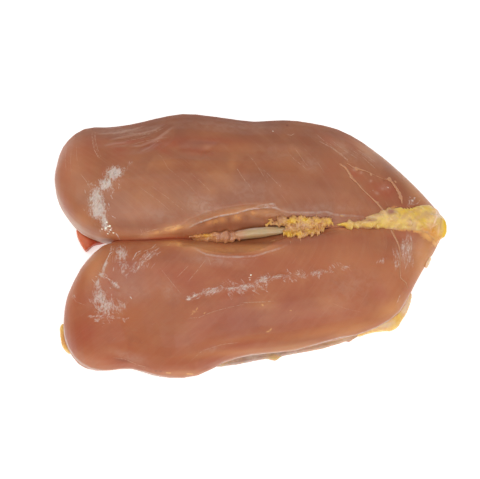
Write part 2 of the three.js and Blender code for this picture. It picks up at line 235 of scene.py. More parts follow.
def finish_piece(piece, finish, slot, *nodes):
    """Gives a piece its finish, hangs it under the root body and hides the CAD nodes it stands for;
    slot is not used.
    """
    piece.data.materials.clear()
    piece.data.materials.append(finish.material)
    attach(piece, "root")
    if nodes:
        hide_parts(*nodes)
    low, high = np.min(points_of(piece)[0], 0) * 1e3, np.max(points_of(piece)[0], 0) * 1e3
    triangles = sum(len(p.vertices) - 2 for p in piece.data.polygons)
    print(f"{piece.name}: {triangles} triangles, {low.round(1)} to {high.round(1)} mm")


# %% [markdown]
# Marks that follow the surface are painted on the points of the mesh and read by the finish. A
# broad blush or a wet patch is an ellipse that fades out. A fine line is thinner than the mesh, so
# painting it would break it into beads. Each point stores how far beside the line it is instead,
# left or right. That number runs straight through zero at the line, so the finish finds a crisp
# line between the points.

# %% Painted marks
FADE = 1.4  # how fast a daub fades out towards its edge
HEAD_ON, EDGE_ON = 3, 0.4  # paint thins out where the surface turns away from the camera
STOP_SPACING = 1.5  # pixels between the stops of a stroke
LONGEST_STOP = 0.004  # a longer stretch leaps over a fold, and isn't painted
END_FADE = 6  # a stroke fades in over a sixth of its length, and out again


def store(piece, name, values):
    """Keeps one number for each point of a piece, which its finish reads by name."""
    layer = piece.data.attributes.new(name, "FLOAT", "POINT")
    layer.data.foreach_set("value", values.astype(np.float32))


def daubs(piece, marks):
    """The strongest of some soft ellipses (u, v, half width, half height, turn, strength)."""
    places, normals = points_of(piece)
    seen = seen_at(places)
    facing = np.clip(-(normals @ np.array(SIGHT)) * HEAD_ON + EDGE_ON, 0, 1)
    total = np.zeros(len(places))
    for u, v, wide, high, turn, strength in marks:
        turn = np.radians(turn)
        du, dv = seen[:, 0] - u, seen[:, 1] - v
        a = (du * np.cos(turn) + dv * np.sin(turn)) / wide
        b = (dv * np.cos(turn) - du * np.sin(turn)) / high
        total = np.maximum(total, strength * np.exp(-FADE * (a * a + b * b)))
    return total * facing


def walk(path, spacing, fewest=2):
    """Stops about spacing pixels apart along a path of rows that start with u and v."""
    for a, b in zip(path, path[1:]):
        steps = max(fewest, round(np.hypot(b[0] - a[0], b[1] - a[1]) / spacing))
        for i in range(steps):
            share = i / steps
            yield [start + (end - start) * share for start, end in zip(a, b)]


def strokes(piece, lines, reach=0.0018):
    """For each point, how far beside the nearest line it is, and that line's strength there."""
    places, normals = points_of(piece)
    beside = np.full(len(places), reach)
    gap = np.full(len(places), reach)
    ink = np.zeros(len(places))
    sight = np.array(SIGHT)
    for pixels, strength in lines:
        stops = [*walk(pixels, STOP_SPACING, 1), pixels[-1]]
        trail = np.array([on_meat(u, v)[0] for u, v in stops])
        for i, (a, b) in enumerate(zip(trail, trail[1:])):
            along = b - a
            length = np.linalg.norm(along)
            if length < 1e-6 or length > LONGEST_STOP:
                continue
            near = np.nonzero(np.all(np.abs(places - (a + b) / 2) < reach + length, axis=1))[0]
            if len(near) == 0:
                continue
            offset = places[near] - a
            t = np.clip(offset @ along / length**2, 0, 1)
            apart = offset - t[:, None] * along
            distance = np.linalg.norm(apart, axis=1)
            closer = distance < gap[near]
            chosen, t, distance = near[closer], t[closer], distance[closer]
            side = np.sign(apart[closer] @ np.cross(along, sight))
            share = (i + t) / (len(trail) - 1)
            fade = np.clip(np.minimum(share, 1 - share) * END_FADE, 0, 1)
            fade *= np.clip(2 - 2 * distance / reach, 0, 1)
            gap[chosen], beside[chosen] = distance, side * distance
            ink[chosen] = strength * fade * (normals[chosen] @ -sight > -0.1)
    return beside, ink


print("paint helpers are ready")

# %% [markdown]
# A finish is a graph of shader nodes. Written as node after node it can't be read, so a small
# class wraps a socket and lets Python's own signs add the maths nodes. Colour is built up in
# layers, as a painter glazes: each has a share, 0 to 1, and a tone. Whatever changes over the
# surface goes to colour, roughness, coat weight and normal only. The rest is set once.

# %% Shader sums in Python
class Reading:
    """One socket of a finish. Sums on it add maths nodes."""

    def __init__(self, finish, socket):
        self.finish, self.socket = finish, socket

    def __add__(self, other):
        return self.finish.maths("ADD", self, other)

    def __sub__(self, other):
        return self.finish.maths("SUBTRACT", self, other)

    def __rsub__(self, other):
        return self.finish.maths("SUBTRACT", other, self)

    def __mul__(self, other):
        return self.finish.maths("MULTIPLY", self, other)

    def __pow__(self, other):
        return self.finish.maths("POWER", self, other)

    def __abs__(self):
        return self.finish.maths("ABSOLUTE", self)

    __radd__, __rmul__ = __add__, __mul__


class Finish:
    """A material whose shader has some constant settings, and the ways to build its graph."""

    def __init__(self, name, **settings):
        self.material = bpy.data.materials.new(name)
        self.material.use_nodes = True
        self.tree = self.material.node_tree
        self.shader = self.tree.nodes["Principled BSDF"]
        self.feed(self.shader, {key.replace("_", " "): value for key, value in settings.items()})

    def feed(self, node, values):
        """Links a reading to a node's socket, or sets the socket to a plain value."""
        for key, value in values.items():
            if isinstance(value, Reading):
                self.tree.links.new(value.socket, node.inputs[key])
            else:
                node.inputs[key].default_value = value

    def node(self, kind, settings, values, output=0):
        """Adds any node: its type, its settings, and the values or links of its sockets."""
        made = self.tree.nodes.new(kind)
        for key, value in settings.items():
            setattr(made, key, value)
        self.feed(made, values)
        return Reading(self, made.outputs[output])

    def maths(self, operation, first, second=0.0):
        return self.node("ShaderNodeMath", {"operation": operation}, {0: first, 1: second})

    def place(self):
        return self.node("ShaderNodeTexCoord", {}, {}, "Object")

    def axes(self, vector):
        parts = self.node("ShaderNodeSeparateXYZ", {}, {0: vector})
        return [Reading(self, s) for s in parts.socket.node.outputs]

    def vector(self, x, y, z):
        return self.node("ShaderNodeCombineXYZ", {}, {0: x, 1: y, 2: z})

    def noise(self, vector, scale, detail=2.0, roughness=0.5, distortion=0.0):
        values = {"Vector": vector, "Scale": scale, "Detail": detail, "Roughness": roughness}
        values["Distortion"] = distortion
        return self.node("ShaderNodeTexNoise", {}, values)

    def painted(self, name):
        """The number that a piece's points store under a name."""
        return self.node("ShaderNodeAttribute", {"attribute_name": name}, {}, "Fac")

    def step(self, value, low, high, start=0.0, end=1.0):
        """Turns smoothly from start to end while value goes from low to high."""
        values = {"Value": value, "From Min": low, "From Max": high, "To Min": start, "To Max": end}
        return self.node("ShaderNodeMapRange", {"interpolation_type": "SMOOTHSTEP"}, values)

    def mix(self, share, first, second, way="MIX"):
        settings = {"data_type": "RGBA", "blend_type": way}
        return self.node("ShaderNodeMix", settings, {0: share, 6: first, 7: second}, 2)

    def layered(self, colour, *layers):
        """Lays tints over a colour, one by one, each as a share from 0 to 1 and a tint."""
        for share, tint in layers:
            colour = self.mix(share, colour, tint)
        return colour

    def bump(self, height, distance, strength=1.0, **under):
        """Relief from a height, over the relief that under gives as its Normal, if any."""
        values = {"Height": height, "Distance": distance, "Strength": strength, **under}
        return self.node("ShaderNodeBump", {}, values)

    def finish(self, **values):
        """Feeds the shader what varies over the surface."""
        self.feed(self.shader, {key.replace("_", " "): value for key, value in values.items()})


def tone(red, green, blue):
    """A shader colour from a colour as a screen shows it, 0 to 255."""
    parts = [c / 255 for c in (red, green, blue)]
    return [p / 12.92 if p < 0.04045 else ((p + 0.055) / 1.055) ** 2.4 for p in parts] + [1.0]


print("meat tone:", [round(c, 3) for c in tone(170, 114, 88)[:3]])

# %% [markdown]
# ## The two muscles
# Each muscle is a smooth, heavy lobe under a thin clear membrane. Its skin comes from the CAD
# solid, so the outline, the folds and the hollow of the seam stay where they are. What the solid
# is too coarse for comes now: slow swellings, the wrinkles where the membrane has slipped, and the
# cut rim of the membrane along the hollow. The walls swell a little towards each other, so that
# the seam closes. The places below are pixels of the picture. A path is a row of them, a painted
# line is its strength and then u, v, u, v, and a patch is u, v, half width, half height, turn in
# degrees and strength.

# %% Edges and folds
def lines_of(rows):
    """Painted lines, each a path of pixels and a strength, from rows of bare numbers."""
    return [(list(zip(row[1::2], row[2::2])), row[0]) for row in rows]


# Along the cut rims the membrane is raised, and its pale line is partly the membrane's own edge and
# partly a painted highlight
CUT_RIM_FAR = [
    (186, 229), (190, 227.5), (194, 225), (200, 222.5), (206, 220.5), (212, 218.5), (218, 216.5),
    (224, 215.5), (230, 214.5), (236, 213.5), (242, 211.5), (248, 209.8), (254, 208.6),
    (260, 208.4), (266, 207.6), (275, 208), (283, 212),
]
CUT_RIM_LIP = [(254, 207.5), (262, 205.5), (269, 204.3), (276, 204)]
CUT_RIM_NEAR = [
    (190, 245), (197, 249), (203, 252.5), (209, 254.5), (215, 255.5), (228, 256.5), (240, 256.7),
    (252, 256), (259, 254.5), (266, 252.2), (273, 250.3), (281, 247.5), (288, 244),
]
SEAM_MEMBRANE = [
    (281, 211.5), (290, 212.5), (300, 212.5), (314, 212.7), (326, 212), (335, 214.5), (346, 215.5),
    (356, 216), (366, 217.5),
]
# The edge paths below carry a painted pale rim of reflected light along the outlines
NEAR_EDGE = [
    (212, 366), (222, 361.5), (237, 357), (251, 354), (264, 353), (293, 350), (305, 347),
    (321, 342), (339, 337), (354, 335), (376, 327), (389, 320), (400, 310), (411, 292), (419, 277),
    (425, 266),
]
SHOULDER_EDGE = [
    (62, 208), (64.5, 213.6), (68, 219), (72.2, 224), (76, 228.8), (80.2, 232.6), (85, 235.6),
    (91, 238),
]
TOP_EDGE = [(90, 127.5), (100, 127), (112, 127), (124, 126)]
NEAR_OUTLINE = [
    (72, 288), (67.2, 300), (65.4, 312), (64.6, 325), (66.4, 337), (70.2, 347.4), (75.8, 356),
    (83, 362.6), (91.5, 367.6), (103, 369.8), (114, 369.6), (124, 368.4), (134, 368.8), (146, 371),
    (158, 374), (170, 376.2), (182, 376.4),
]
FOLDS = lines_of([
    (0.8, 95, 134, 108, 133.4, 121, 132, 135, 129, 146, 125),
    (1, 108, 140, 121, 137.4, 139, 134, 155, 130, 164, 124),
    (0.9, 128, 147, 141, 146, 155, 140, 167, 131.5, 174, 126),
    (0.5, 140, 152.5, 149, 148.5, 161, 139), (0.5, 104, 146, 116, 144, 128, 142),
])
print("stops on the cut rims:", len(CUT_RIM_FAR) + len(CUT_RIM_LIP) + len(CUT_RIM_NEAR))

# %% [markdown]
# A wet film mirrors the lamps. Where it lies smooth the mirror image is broad and soft. Where it
# has slipped into wrinkles, each of them catches a hair-thin glint of its own. These glints and the
# sparkles are painted highlights, pale lines in the colour with a little relief. The clearest are
# placed one by one, and the rest are strewn as fringes that lean the way the wrinkles do.

# %% Wrinkles and glints
WRINKLED = [
    (114.5, 174, 11, 9, -20, 1), (107, 184, 10, 8, -45, 1), (97, 198, 9, 14, 5, 1),
    (99.5, 209, 10, 15, -8, 1), (105.5, 222, 4, 11, -14, 1), (93, 206, 7, 16, 0, 0.6),
    (126, 169, 4, 3, -40, 0.6), (131, 163, 4, 3, -40, 0.5), (94, 186, 10, 6, 0, 0.4),
    (107, 229, 5, 4, 0, 0.6), (106.5, 265, 2.6, 10, 20, 0.9), (123.5, 253, 8, 9, 10, 0.7),
    (125, 266, 7, 10, 0, 0.55), (140, 264, 8, 12, 38, 0.4), (150, 256, 10, 5, -38, 0.3),
    (103, 274, 5, 3, 0, 0.8), (116, 284, 8, 2.6, 42, 0.75), (99.5, 284, 4, 8, 0, 0.8),
    (102, 297, 9, 12, -22, 0.85), (108, 306, 14, 11, -25, 0.8), (122, 305, 9, 11, 10, 0.6),
    (148, 254, 10, 3, -35, 0.4), (76.4, 296, 3, 3, 0, 0.5), (190, 297, 5, 2.5, -20, 0.7),
    (197, 294, 6, 2, -22, 0.7), (213, 290, 13, 4, -8, 0.75), (231, 287.5, 9, 3, 0, 0.65),
    (246, 286, 10, 3.6, -10, 0.75), (263, 279, 11, 4, -15, 0.7), (277, 276, 9, 3, -10, 0.65),
    (299, 275, 10, 2.6, 20, 0.5), (316, 273, 9, 4, -10, 0.6), (206, 291.5, 22, 2, -14, 0.6),
    (238, 287, 22, 2, -4, 0.6), (257, 283, 12, 2.4, -35, 0.6), (288, 275.5, 12, 1.8, 4, 0.5),
    (330, 271, 7, 3, 0, 0.4), (345, 267, 6, 2.6, -25, 0.5), (382, 260, 6, 4, -20, 0.45),
    (396, 262, 3, 12, 0, 0.45), (407, 252, 6, 18, 8, 0.45), (398, 298, 3, 7, 30, 0.4),
    (411, 201, 6, 5, 40, 0.4),
]
PAINTED_GLINTS = lines_of([
    (1, 111.3, 229.5, 112.2, 230.3), (0.9, 108.6, 226.2, 109.3, 227), (1, 114, 232.7, 114.9, 233.4),
    (0.8, 106.6, 228.2, 107.4, 229.2), (0.8, 108.2, 233, 109, 233.8),
    (0.6, 102.5, 229, 103.6, 229.2), (0.7, 107.6, 221.5, 108.3, 223),
    (0.9, 116.7, 233, 118.6, 235.7, 120.7, 239.6), (0.7, 109.3, 203, 111.4, 208.6),
    (0.7, 112, 215, 114.5, 217.2, 117, 218.6), (0.5, 112.8, 187, 113.6, 194),
    (0.5, 92.6, 185, 97, 185.7), (0.6, 101.4, 191, 106, 186.5, 111.4, 181),
    (0.6, 117, 178, 122, 172, 125, 170), (0.6, 105.5, 178, 107.5, 174, 111, 170),
    (0.6, 95, 203, 93, 198, 94, 193), (0.5, 100, 221, 103, 226, 105, 228),
    (0.5, 119, 183.5, 121, 186),
    (1, 116.4, 250.3, 111.4, 253.1, 109.3, 257.4, 106.4, 264.6, 105, 271.7),
    (0.8, 119, 249, 118.5, 254, 121, 258), (0.6, 125, 248, 122, 253, 121.5, 260),
    (0.5, 129, 249, 127, 256, 124, 262), (0.7, 133.6, 260.3, 137.9, 252.4, 142.9, 250.3),
    (0.7, 140, 263.9, 148.6, 256.7, 155, 249.6), (0.6, 134.3, 273.1, 140, 268, 145.7, 261.7),
    (0.5, 138, 269, 143, 262, 150, 258), (0.4, 146, 262, 153, 256, 158, 251),
    (0.9, 101.4, 272.6, 103.6, 274, 105.7, 275), (0.7, 97, 276, 99, 276.3),
    (0.8, 102.9, 274.6, 110, 278.1, 118.6, 283.1, 121.4, 287.4),
    (0.8, 112.9, 280.3, 116, 283.5, 120, 288.1), (0.8, 131.4, 295.3, 133.6, 298.1),
    (0.5, 111, 286.5, 113, 288), (0.8, 93.6, 315.3, 101.4, 314.6, 107, 316),
    (0.8, 96.4, 318, 102, 319), (0.6, 95.7, 319.9, 100.7, 320.6),
    (0.8, 108.6, 316.7, 112, 316.2, 116.4, 317.7), (0.6, 104.3, 321.7, 107, 322.4),
    (0.6, 127.9, 317.4, 130.7, 316.7), (0.5, 126.4, 301.7, 127, 308.9),
    (0.6, 108, 311, 113, 314.5, 117, 315), (0.45, 114, 300, 118, 306, 121, 311),
    (0.5, 99, 293, 104, 298, 109, 306), (0.5, 94, 300, 98, 307, 103, 312), (0.4, 90, 297, 93, 302),
    (0.6, 76, 294.5, 77, 297), (0.7, 187.5, 295.5, 191, 295),
    (1, 187, 298.6, 190, 298.2, 193, 296.6), (0.7, 193, 296.6, 197, 294, 201, 291.5),
    (0.6, 201, 292.5, 206, 290, 212, 289), (0.5, 206, 294, 210, 292.5), (0.5, 211, 293.5, 216, 291),
    (0.6, 214, 288, 219, 286), (0.7, 226, 287, 233, 288, 238, 291.5, 242, 295),
    (0.6, 238, 286.5, 243, 284.5, 249, 285), (1, 250.4, 274.3, 251, 275),
    (0.7, 249.4, 278.6, 249.8, 279.4), (0.55, 251, 289, 255.5, 291.6, 260, 294),
    (0.65, 255, 283, 264, 289, 269, 292), (0.5, 262, 281, 264.5, 284, 267, 287),
    (0.6, 257, 277.5, 262, 276.5, 268, 277.5), (0.6, 271, 277.5, 276, 275.5, 283, 276.5),
    (0.7, 286, 268, 288, 271, 291, 273.4), (0.5, 288, 278, 293, 282),
    (0.7, 293, 273, 299, 274.5, 306, 278), (0.5, 301, 269, 303, 272, 305, 275.4),
    (0.4, 311, 275, 317, 272.5, 322, 273), (0.5, 325, 271, 330, 272.5),
    (0.6, 341, 267.5, 345, 266, 349, 267.5), (0.5, 394.5, 253, 395.5, 262, 394.6, 271),
    (0.35, 398, 251, 399, 259, 398.4, 268), (0.55, 402, 240, 403, 250, 401, 262),
    (0.5, 406, 236, 407.5, 247, 406, 258), (0.5, 410.5, 233, 412, 243, 410.4, 254),
    (0.4, 407, 262, 404.5, 270), (0.6, 396, 303, 399.5, 295), (0.5, 378, 262, 383, 259.6),
    (1, 409, 204, 412, 201, 416, 199), (0.8, 411, 199, 414, 202), (0.9, 414, 198, 417, 197),
    (0.7, 409.6, 196.6, 412, 198), (0.7, 416.5, 203, 418, 205), (0.7, 387, 186.5, 389, 188),
    (0.8, 372.6, 190, 373, 191), (0.8, 272.6, 130.4, 273.4, 131), (0.5, 157.8, 141, 158.6, 141.6),
])
# Painted sparkles: tiny bright highlight dots
PAINTED_SPARKLES = [([(u - 0.5, v - 0.3), (u + 0.5, v + 0.3)], 3) for u, v in (
    (111.6, 229.9), (108.9, 226.6), (114.4, 233), (107, 228.6), (108.6, 233.6), (107.9, 222.4),
    (103, 229), (250.6, 274.6), (111, 226),
)]
PAINTED_SPARKLES += lines_of([
    (0.6, 272.4, 130.4, 273.2, 131), (0.5, 388.2, 187, 389, 187.6), (0.7, 249.2, 279, 250, 279.4),
])


LEAN_SPREAD = 14  # degrees
FRINGE_STRENGTH = (0.15, 0.5)
FRINGES = (  # path, count, lean in degrees, spread and longest length in pixels
    ([(190, 297), (204, 292), (222, 288)], 22, -28, 2.2, 8),
    ([(222, 288), (240, 287), (256, 284), (268, 280)], 44, 42, 3.2, 9),
    ([(268, 279), (284, 276), (300, 275), (322, 272), (350, 266)], 34, 48, 2.4, 6),
    ([(134, 271), (141, 263), (150, 256), (158, 251)], 30, -48, 3.6, 9),
    ([(119, 249), (122, 258), (124, 270)], 26, 80, 4, 7),
    ([(97, 286), (101, 299), (108, 309), (118, 312)], 44, 48, 5.5, 8),
    ([(92, 316), (105, 318), (128, 317)], 12, 3, 1.8, 6),
    ([(118, 170), (108, 184), (97, 196), (98, 210), (105, 222)], 56, 65, 6, 5),
    ([(103, 273), (112, 279), (121, 286)], 14, 30, 1.6, 7),
    ([(395, 250), (396.5, 268)], 12, 88, 1.6, 9),
    ([(404, 240), (410, 262)], 22, 86, 2.6, 11),
    ([(378, 262), (386, 259)], 8, -50, 2, 5),
    ([(408, 204), (416, 200)], 14, -30, 2.4, 4),
)


def fringe(path, count, lean, spread, longest, draw):
    """Short strokes that lean about one way, strewn along a path of pixels."""
    lines = []
    for _ in range(count):
        spot = draw.random() * (len(path) - 1)
        i = min(int(spot), len(path) - 2)
        u, v = (
            start + (end - start) * (spot - i) + draw.gauss(0, spread)
            for start, end in zip(path[i], path[i + 1])
        )
        turn = np.radians(lean + draw.gauss(0, LEAN_SPREAD))
        half = draw.uniform(0.25, 0.5) * longest
        du, dv = half * np.cos(turn), half * np.sin(turn)
        middle = (u, v + draw.uniform(-0.5, 0.5))
        lines.append(([(u - du, v - dv), middle, (u + du, v + dv)], draw.uniform(*FRINGE_STRENGTH)))
    return lines


draw = random.Random(3)
for path, count, lean, spread, longest in FRINGES:
    PAINTED_GLINTS += fringe(path, count, lean, spread, longest, draw)
print("wrinkled patches:", len(WRINKLED), "glints:", len(PAINTED_GLINTS))

# %% Skins of the lobes
SWELLINGS = ((0.00022, 0.013, 0), (0.00008, 0.005, 9))  # depth, size and seed
WRINKLE_DEPTH, WRINKLE_SIZE, WRINKLE_SEED = 0.00016, 0.0024, 20
WRINKLE_SHAPE = np.array([1.0, 0.55, 1.0])  # drawn out across the breast
RIM_LIFT, RIM_WIDTH = 0.00028, 0.0005
FOLD_LIFT, FOLD_WIDTH = 0.0003, 0.0008
WALL_GAP, WALL_FADE, WALL_PRESS = 0.0017, 0.0006, 0.58


def ridge(lobe, lines, lift, width):
    """How far a lobe's points rise in low ridges along some lines."""
    beside, ink = strokes(lobe, lines)
    return lift * ink * np.exp(-((beside / width) ** 2))


def lobe_skin(node, other, side):
    """One muscle: its skin with its relief, and its wall pressed to the other's."""
    name = node.replace("lobe", "breast")
    lobe = skin(name, merged_copy([node]), voxel=0.00066, rounds=2)
    places, normals = points_of(lobe)
    lift = sum(depth * ripple(places, size, side + seed) for depth, size, seed in SWELLINGS)
    folds = ripple(places * WRINKLE_SHAPE, WRINKLE_SIZE, side + WRINKLE_SEED)
    folded = 1 - 2.2 * np.abs(folds)
    lift += WRINKLE_DEPTH * daubs(lobe, WRINKLED) * folded
    rims = [(CUT_RIM_FAR, 1), (CUT_RIM_LIP, 0.5), (CUT_RIM_NEAR, 0.8)]
    lift += ridge(lobe, rims, RIM_LIFT, RIM_WIDTH)
    lift += ridge(lobe, FOLDS, FOLD_LIFT, FOLD_WIDTH)
    places += normals * lift[:, None]
    gap, towards = gaps_to(places, [other, "tail_fat", "keel_fat"])
    press = WALL_PRESS * np.clip((WALL_GAP - gap) / WALL_FADE, 0, 1)
    move_points(lobe, places + towards * press[:, None])
    return lobe


breast_far = lobe_skin("lobe_far", "lobe_near", 1)
breast_near = lobe_skin("lobe_near", "lobe_far", -1)
print("points of the lobes:", len(breast_far.data.vertices), len(breast_near.data.vertices))

# %% [markdown]
# The marks on the muscles: where blood leaves the meat redder, where it's thin and the light makes
# it tan, where the membrane is milky or wet, painted shade in the folds and hollows, painted light
# where more light falls, and which fine threads run over it. Specks of body fat that cling to the
# membrane are painted as short lines too.

# %% Patches of the lobes
BLUSH = [
    (170, 143, 30, 7, -8, 0.8), (84, 150, 26, 13, -20, 0.55), (70, 174, 10, 26, 0, 0.2),
    (197, 152, 20, 5, 5, 0.8), (230, 320, 42, 12, 0, 0.5), (128, 142, 24, 2.4, -9, 0.8),
    (160, 149, 16, 4, 25, 0.8), (118, 150, 14, 5, 10, 0.6), (354, 174, 7, 5, 50, 0.9),
    (386, 185, 10, 7, 30, 0.8), (215, 141, 45, 5, 2, 0.6), (120, 156, 12, 10, 20, 0.5),
    (66, 165, 9, 30, 0, 0.7), (76, 150, 14, 12, 0, 0.4), (66, 205, 8, 22, 0, 0.5),
    (88, 165, 8, 16, 0, 0.35), (104, 172, 4, 8, 0, 0.4), (128, 268, 18, 14, 0, 0.45),
    (190, 318, 56, 14, 0, 0.35), (74, 346, 8, 12, 0, 0.6), (400, 237, 20, 6, 5, 0.9),
    (170, 335, 20, 12, 0, 0.3), (330, 170, 14, 20, 30, 0.3), (350, 138, 18, 6, 30, 0.5),
    (360, 176, 10, 6, 20, 0.6), (374, 198, 12, 7, 30, 0.8), (392, 190, 10, 8, 30, 0.8),
    (328, 138, 12, 6, 30, 0.6), (384, 191, 20, 11, 25, 0.95), (355, 172, 12, 6, 30, 0.6),
    (352, 145, 14, 5, 35, 0.4), (86, 333, 14, 16, 20, 1), (76, 300, 8, 24, 8, 0.55),
    (115, 360, 24, 7, 10, 0.55), (165, 270, 14, 8, 0, 0.4), (185, 276, 14, 12, 0, 0.45),
    (380, 292, 12, 9, 20, 0.9), (350, 274, 8, 6, 0, 0.7), (345, 240, 40, 8, -3, 0.5),
    (405, 234, 18, 7, 0, 0.9), (290, 300, 22, 12, 0, 0.45), (300, 322, 60, 10, -8, 0.35),
    (215, 325, 60, 12, 0, 0.3), (210, 360, 16, 8, -20, 0.5), (247, 345, 30, 7, -6, 0.5),
    (335, 292, 12, 10, 0, 0.4), (110, 241, 30, 2.2, 0, 1), (150, 239, 30, 1.8, 0, 0.9),
    (400, 205, 16, 6, 30, 0.5),
]
TAN = [
    (210, 222.5, 5, 3, -20, 1.3), (222, 219.5, 5, 4.5, 0, 1.3), (237, 217, 5.5, 5, 0, 1.2),
    (253, 213, 5, 3, 0, 1.2), (266, 212.5, 7, 3, 0, 1.2), (96, 264, 14, 24, 25, 0.5),
    (88, 268, 10, 22, 25, 0.3), (84, 222, 14, 10, 30, 0.3), (90, 190, 16, 14, 0, 0.25),
    (425, 258, 12, 34, 14, 1), (392, 308, 22, 10, -28, 0.9), (350, 330, 34, 7, -16, 0.75),
    (290, 347, 50, 6, -8, 0.9), (190, 372, 26, 4, 0, 0.6), (370, 150, 34, 5, 33, 0.8),
    (415, 190, 34, 5, 46, 0.8), (300, 122, 20, 3, 0, 0.3), (172, 229.5, 15, 5, -12, 1),
    (154, 234, 13, 4, -14, 0.9), (187, 226.5, 9, 4, -8, 0.8), (430, 246, 9, 14, 20, 0.7),
    (235, 212, 40, 5, -10, 0.85), (262, 213, 26, 6, 0, 0.9), (205, 247, 30, 6, 8, 1),
    (250, 248, 30, 6, 0, 0.9), (175, 243, 14, 4, 0, 0.9), (160, 200, 60, 16, 10, 0.25),
    (150, 315, 60, 14, 5, 0.2), (330, 330, 50, 8, -12, 0.5), (250, 350, 60, 5, -4, 0.7),
    (222, 178, 16, 12, 30, 0.35), (212, 190, 10, 8, 0, 0.3), (232, 165, 6, 14, 10, 0.35),
    (165, 165, 14, 10, 0, 0.25), (262, 304, 16, 6, 0, 0.35), (240, 338, 40, 5, -8, 0.3),
    (330, 300, 20, 10, 0, 0.3),
]
MILK = [
    (354.4, 170, 2.4, 1.8, 0, 1.2), (361, 172.6, 2, 1.5, 0, 1.1), (383, 188.6, 3, 2, 0, 1.2),
    (371, 181, 2.2, 1.6, 0, 1), (377, 193, 3, 1.6, 30, 0.9), (205, 207, 24, 14, 20, 0.7),
    (262, 214, 56, 6, -4, 0.65), (352, 284, 34, 20, 0, 0.4), (418, 250, 8, 14, 10, 0.6),
    (325, 208, 46, 6, 0, 0.5), (250, 190, 40, 18, 0, 0.35), (310, 165, 10, 8, 0, 0.6),
    (172, 291, 14, 10, 40, 0.5), (215, 260, 34, 6, 5, 0.6), (120, 131, 28, 4, -3, 0.9),
    (150, 128, 20, 3, -12, 0.5), (130, 355, 20, 5, 15, 0.6), (235, 125, 80, 7, 2, 0.5),
    (345, 150, 22, 8, 35, 0.5), (78, 228, 18, 4, 42, 0.9), (240, 360, 30, 4, -8, 0.9),
    (147, 237, 8, 5, 0, 0.6), (215, 347, 16, 4, -14, 0.5), (370, 157, 16, 3.5, 40, 0.7),
    (385, 188, 6, 4, 0, 0.6), (408, 250, 9, 22, 8, 0.8), (340, 206, 40, 14, 0, 0.2),
    (248, 216, 26, 6, -4, 0.5), (236, 250, 34, 4, 0, 0.35), (300, 214, 34, 4, 0, 0.55),
    (235, 209, 30, 3, -6, 0.6), (195, 222, 14, 5, -20, 0.6), (202, 246, 18, 5, 5, 0.5),
    (280, 153, 34, 12, 0, 0.25), (160, 215, 26, 10, 15, 0.3), (130, 290, 20, 14, 0, 0.3),
]
# Painted shade in the folds, in the hollow of the seam round the cartilage, on the far top band and
# on other dim parts, with a few dark specks of the meat itself
DARK_SPECKS_AND_SHADE = [
    (229, 219, 1.6, 4, 0, 0.5), (247, 218, 3, 5, 0, 0.5), (262, 219, 10, 4, 0, 0.5),
    (384.5, 180.4, 1, 0.9, 0, 1.3), (403.4, 179.4, 0.9, 0.8, 0, 1.2),
    (335.6, 346, 0.8, 0.8, 0, 0.8), (255, 243, 46, 2.4, 0, 0.9), (378, 156, 28, 3.5, 42, 0.6),
    (406, 183, 22, 3.5, 45, 0.5), (206, 143, 26, 3, 2, 0.75), (255, 225, 44, 3.4, 0, 0.75),
    (213, 228, 24, 3, -10, 0.5), (200, 243, 20, 2, 5, 0.6), (215, 141, 40, 4, 2, 0.3),
    (287.5, 124.7, 1.2, 1.1, 0, 1.6), (290, 144, 24, 4, 0, 0.3), (345, 219, 26, 4, -2, 0.35),
    (390, 228, 30, 1.6, 0, 0.5), (150, 240, 44, 1.5, 0, 0.8), (300, 240, 30, 2, -12, 0.3),
    (161, 303, 5, 6, 0, 0.3), (225, 117, 90, 5, 2, 0.9), (265, 178, 36, 11, 0, 0.45),
    (155, 192, 34, 10, 0, 0.2), (132, 276, 18, 26, 0, 0.35), (168, 322, 34, 34, 0, 0.35),
    (245, 320, 54, 22, 0, 0.42), (190, 300, 30, 10, 0, 0.25), (300, 343, 56, 8, -8, 0.4),
    (300, 302, 34, 14, 0, 0.25), (180, 257, 44, 9, 0, 0.35), (124, 359, 8, 1.6, 12, 0.8),
    (157, 369.5, 1.3, 1, 0, 1.2), (161.5, 370, 1.1, 1, 0, 1.2),
]
# Painted light: paler patches where more light falls, on the seam's slopes, the ends, the outlines
# and along the lower edge of the fat
PAINTED_LIGHT = [
    (418, 248, 8, 14, 8, 0.8), (150, 236.6, 34, 1.6, -2, 1), (340, 228, 14, 3, 0, 0.9),
    (415, 230, 26, 1.6, 9, 1), (404, 235, 26, 6, 4, 0.5), (365, 285, 34, 24, 0, 0.3),
    (72, 172, 18, 42, 0, 0.75), (200, 229, 16, 5, -14, 0.8), (125, 238, 24, 4, 0, 0.8),
    (328, 229, 8, 4, 0, 0.8), (197, 154, 16, 3.5, 4, 0.5), (95, 270, 10, 16, 20, 0.5),
    (320, 195, 44, 10, 0, 0.3), (122, 236, 46, 8, 0, 0.9), (190, 224, 28, 7, -12, 0.6),
    (235, 214, 36, 6, -6, 0.5), (345, 168, 46, 24, 25, 0.4), (345, 258, 56, 24, -4, 0.6),
    (392, 278, 28, 40, 10, 0.55), (86, 215, 18, 22, 0, 0.5), (72, 292, 10, 44, 10, 0.6),
    (92, 360, 34, 12, 10, 0.7), (165, 373, 34, 6, 0, 0.6), (130, 166, 26, 20, 0, 0.35),
    (330, 142, 30, 12, 25, 0.3), (350, 305, 40, 20, -15, 0.3), (222, 247, 26, 6, 0, 0.6),
    (320, 270, 30, 14, 0, 0.2), (420, 240, 10, 10, 0, 0.5), (180, 240, 20, 3, 0, 0.5),
    (130, 215, 34, 12, 0, 0.35), (262, 222, 26, 7, 0, 0.4), (225, 250, 34, 4, 2, 0.8),
    (262, 247, 22, 4, -8, 0.5), (206, 222, 10, 4, -20, 0.4),
]
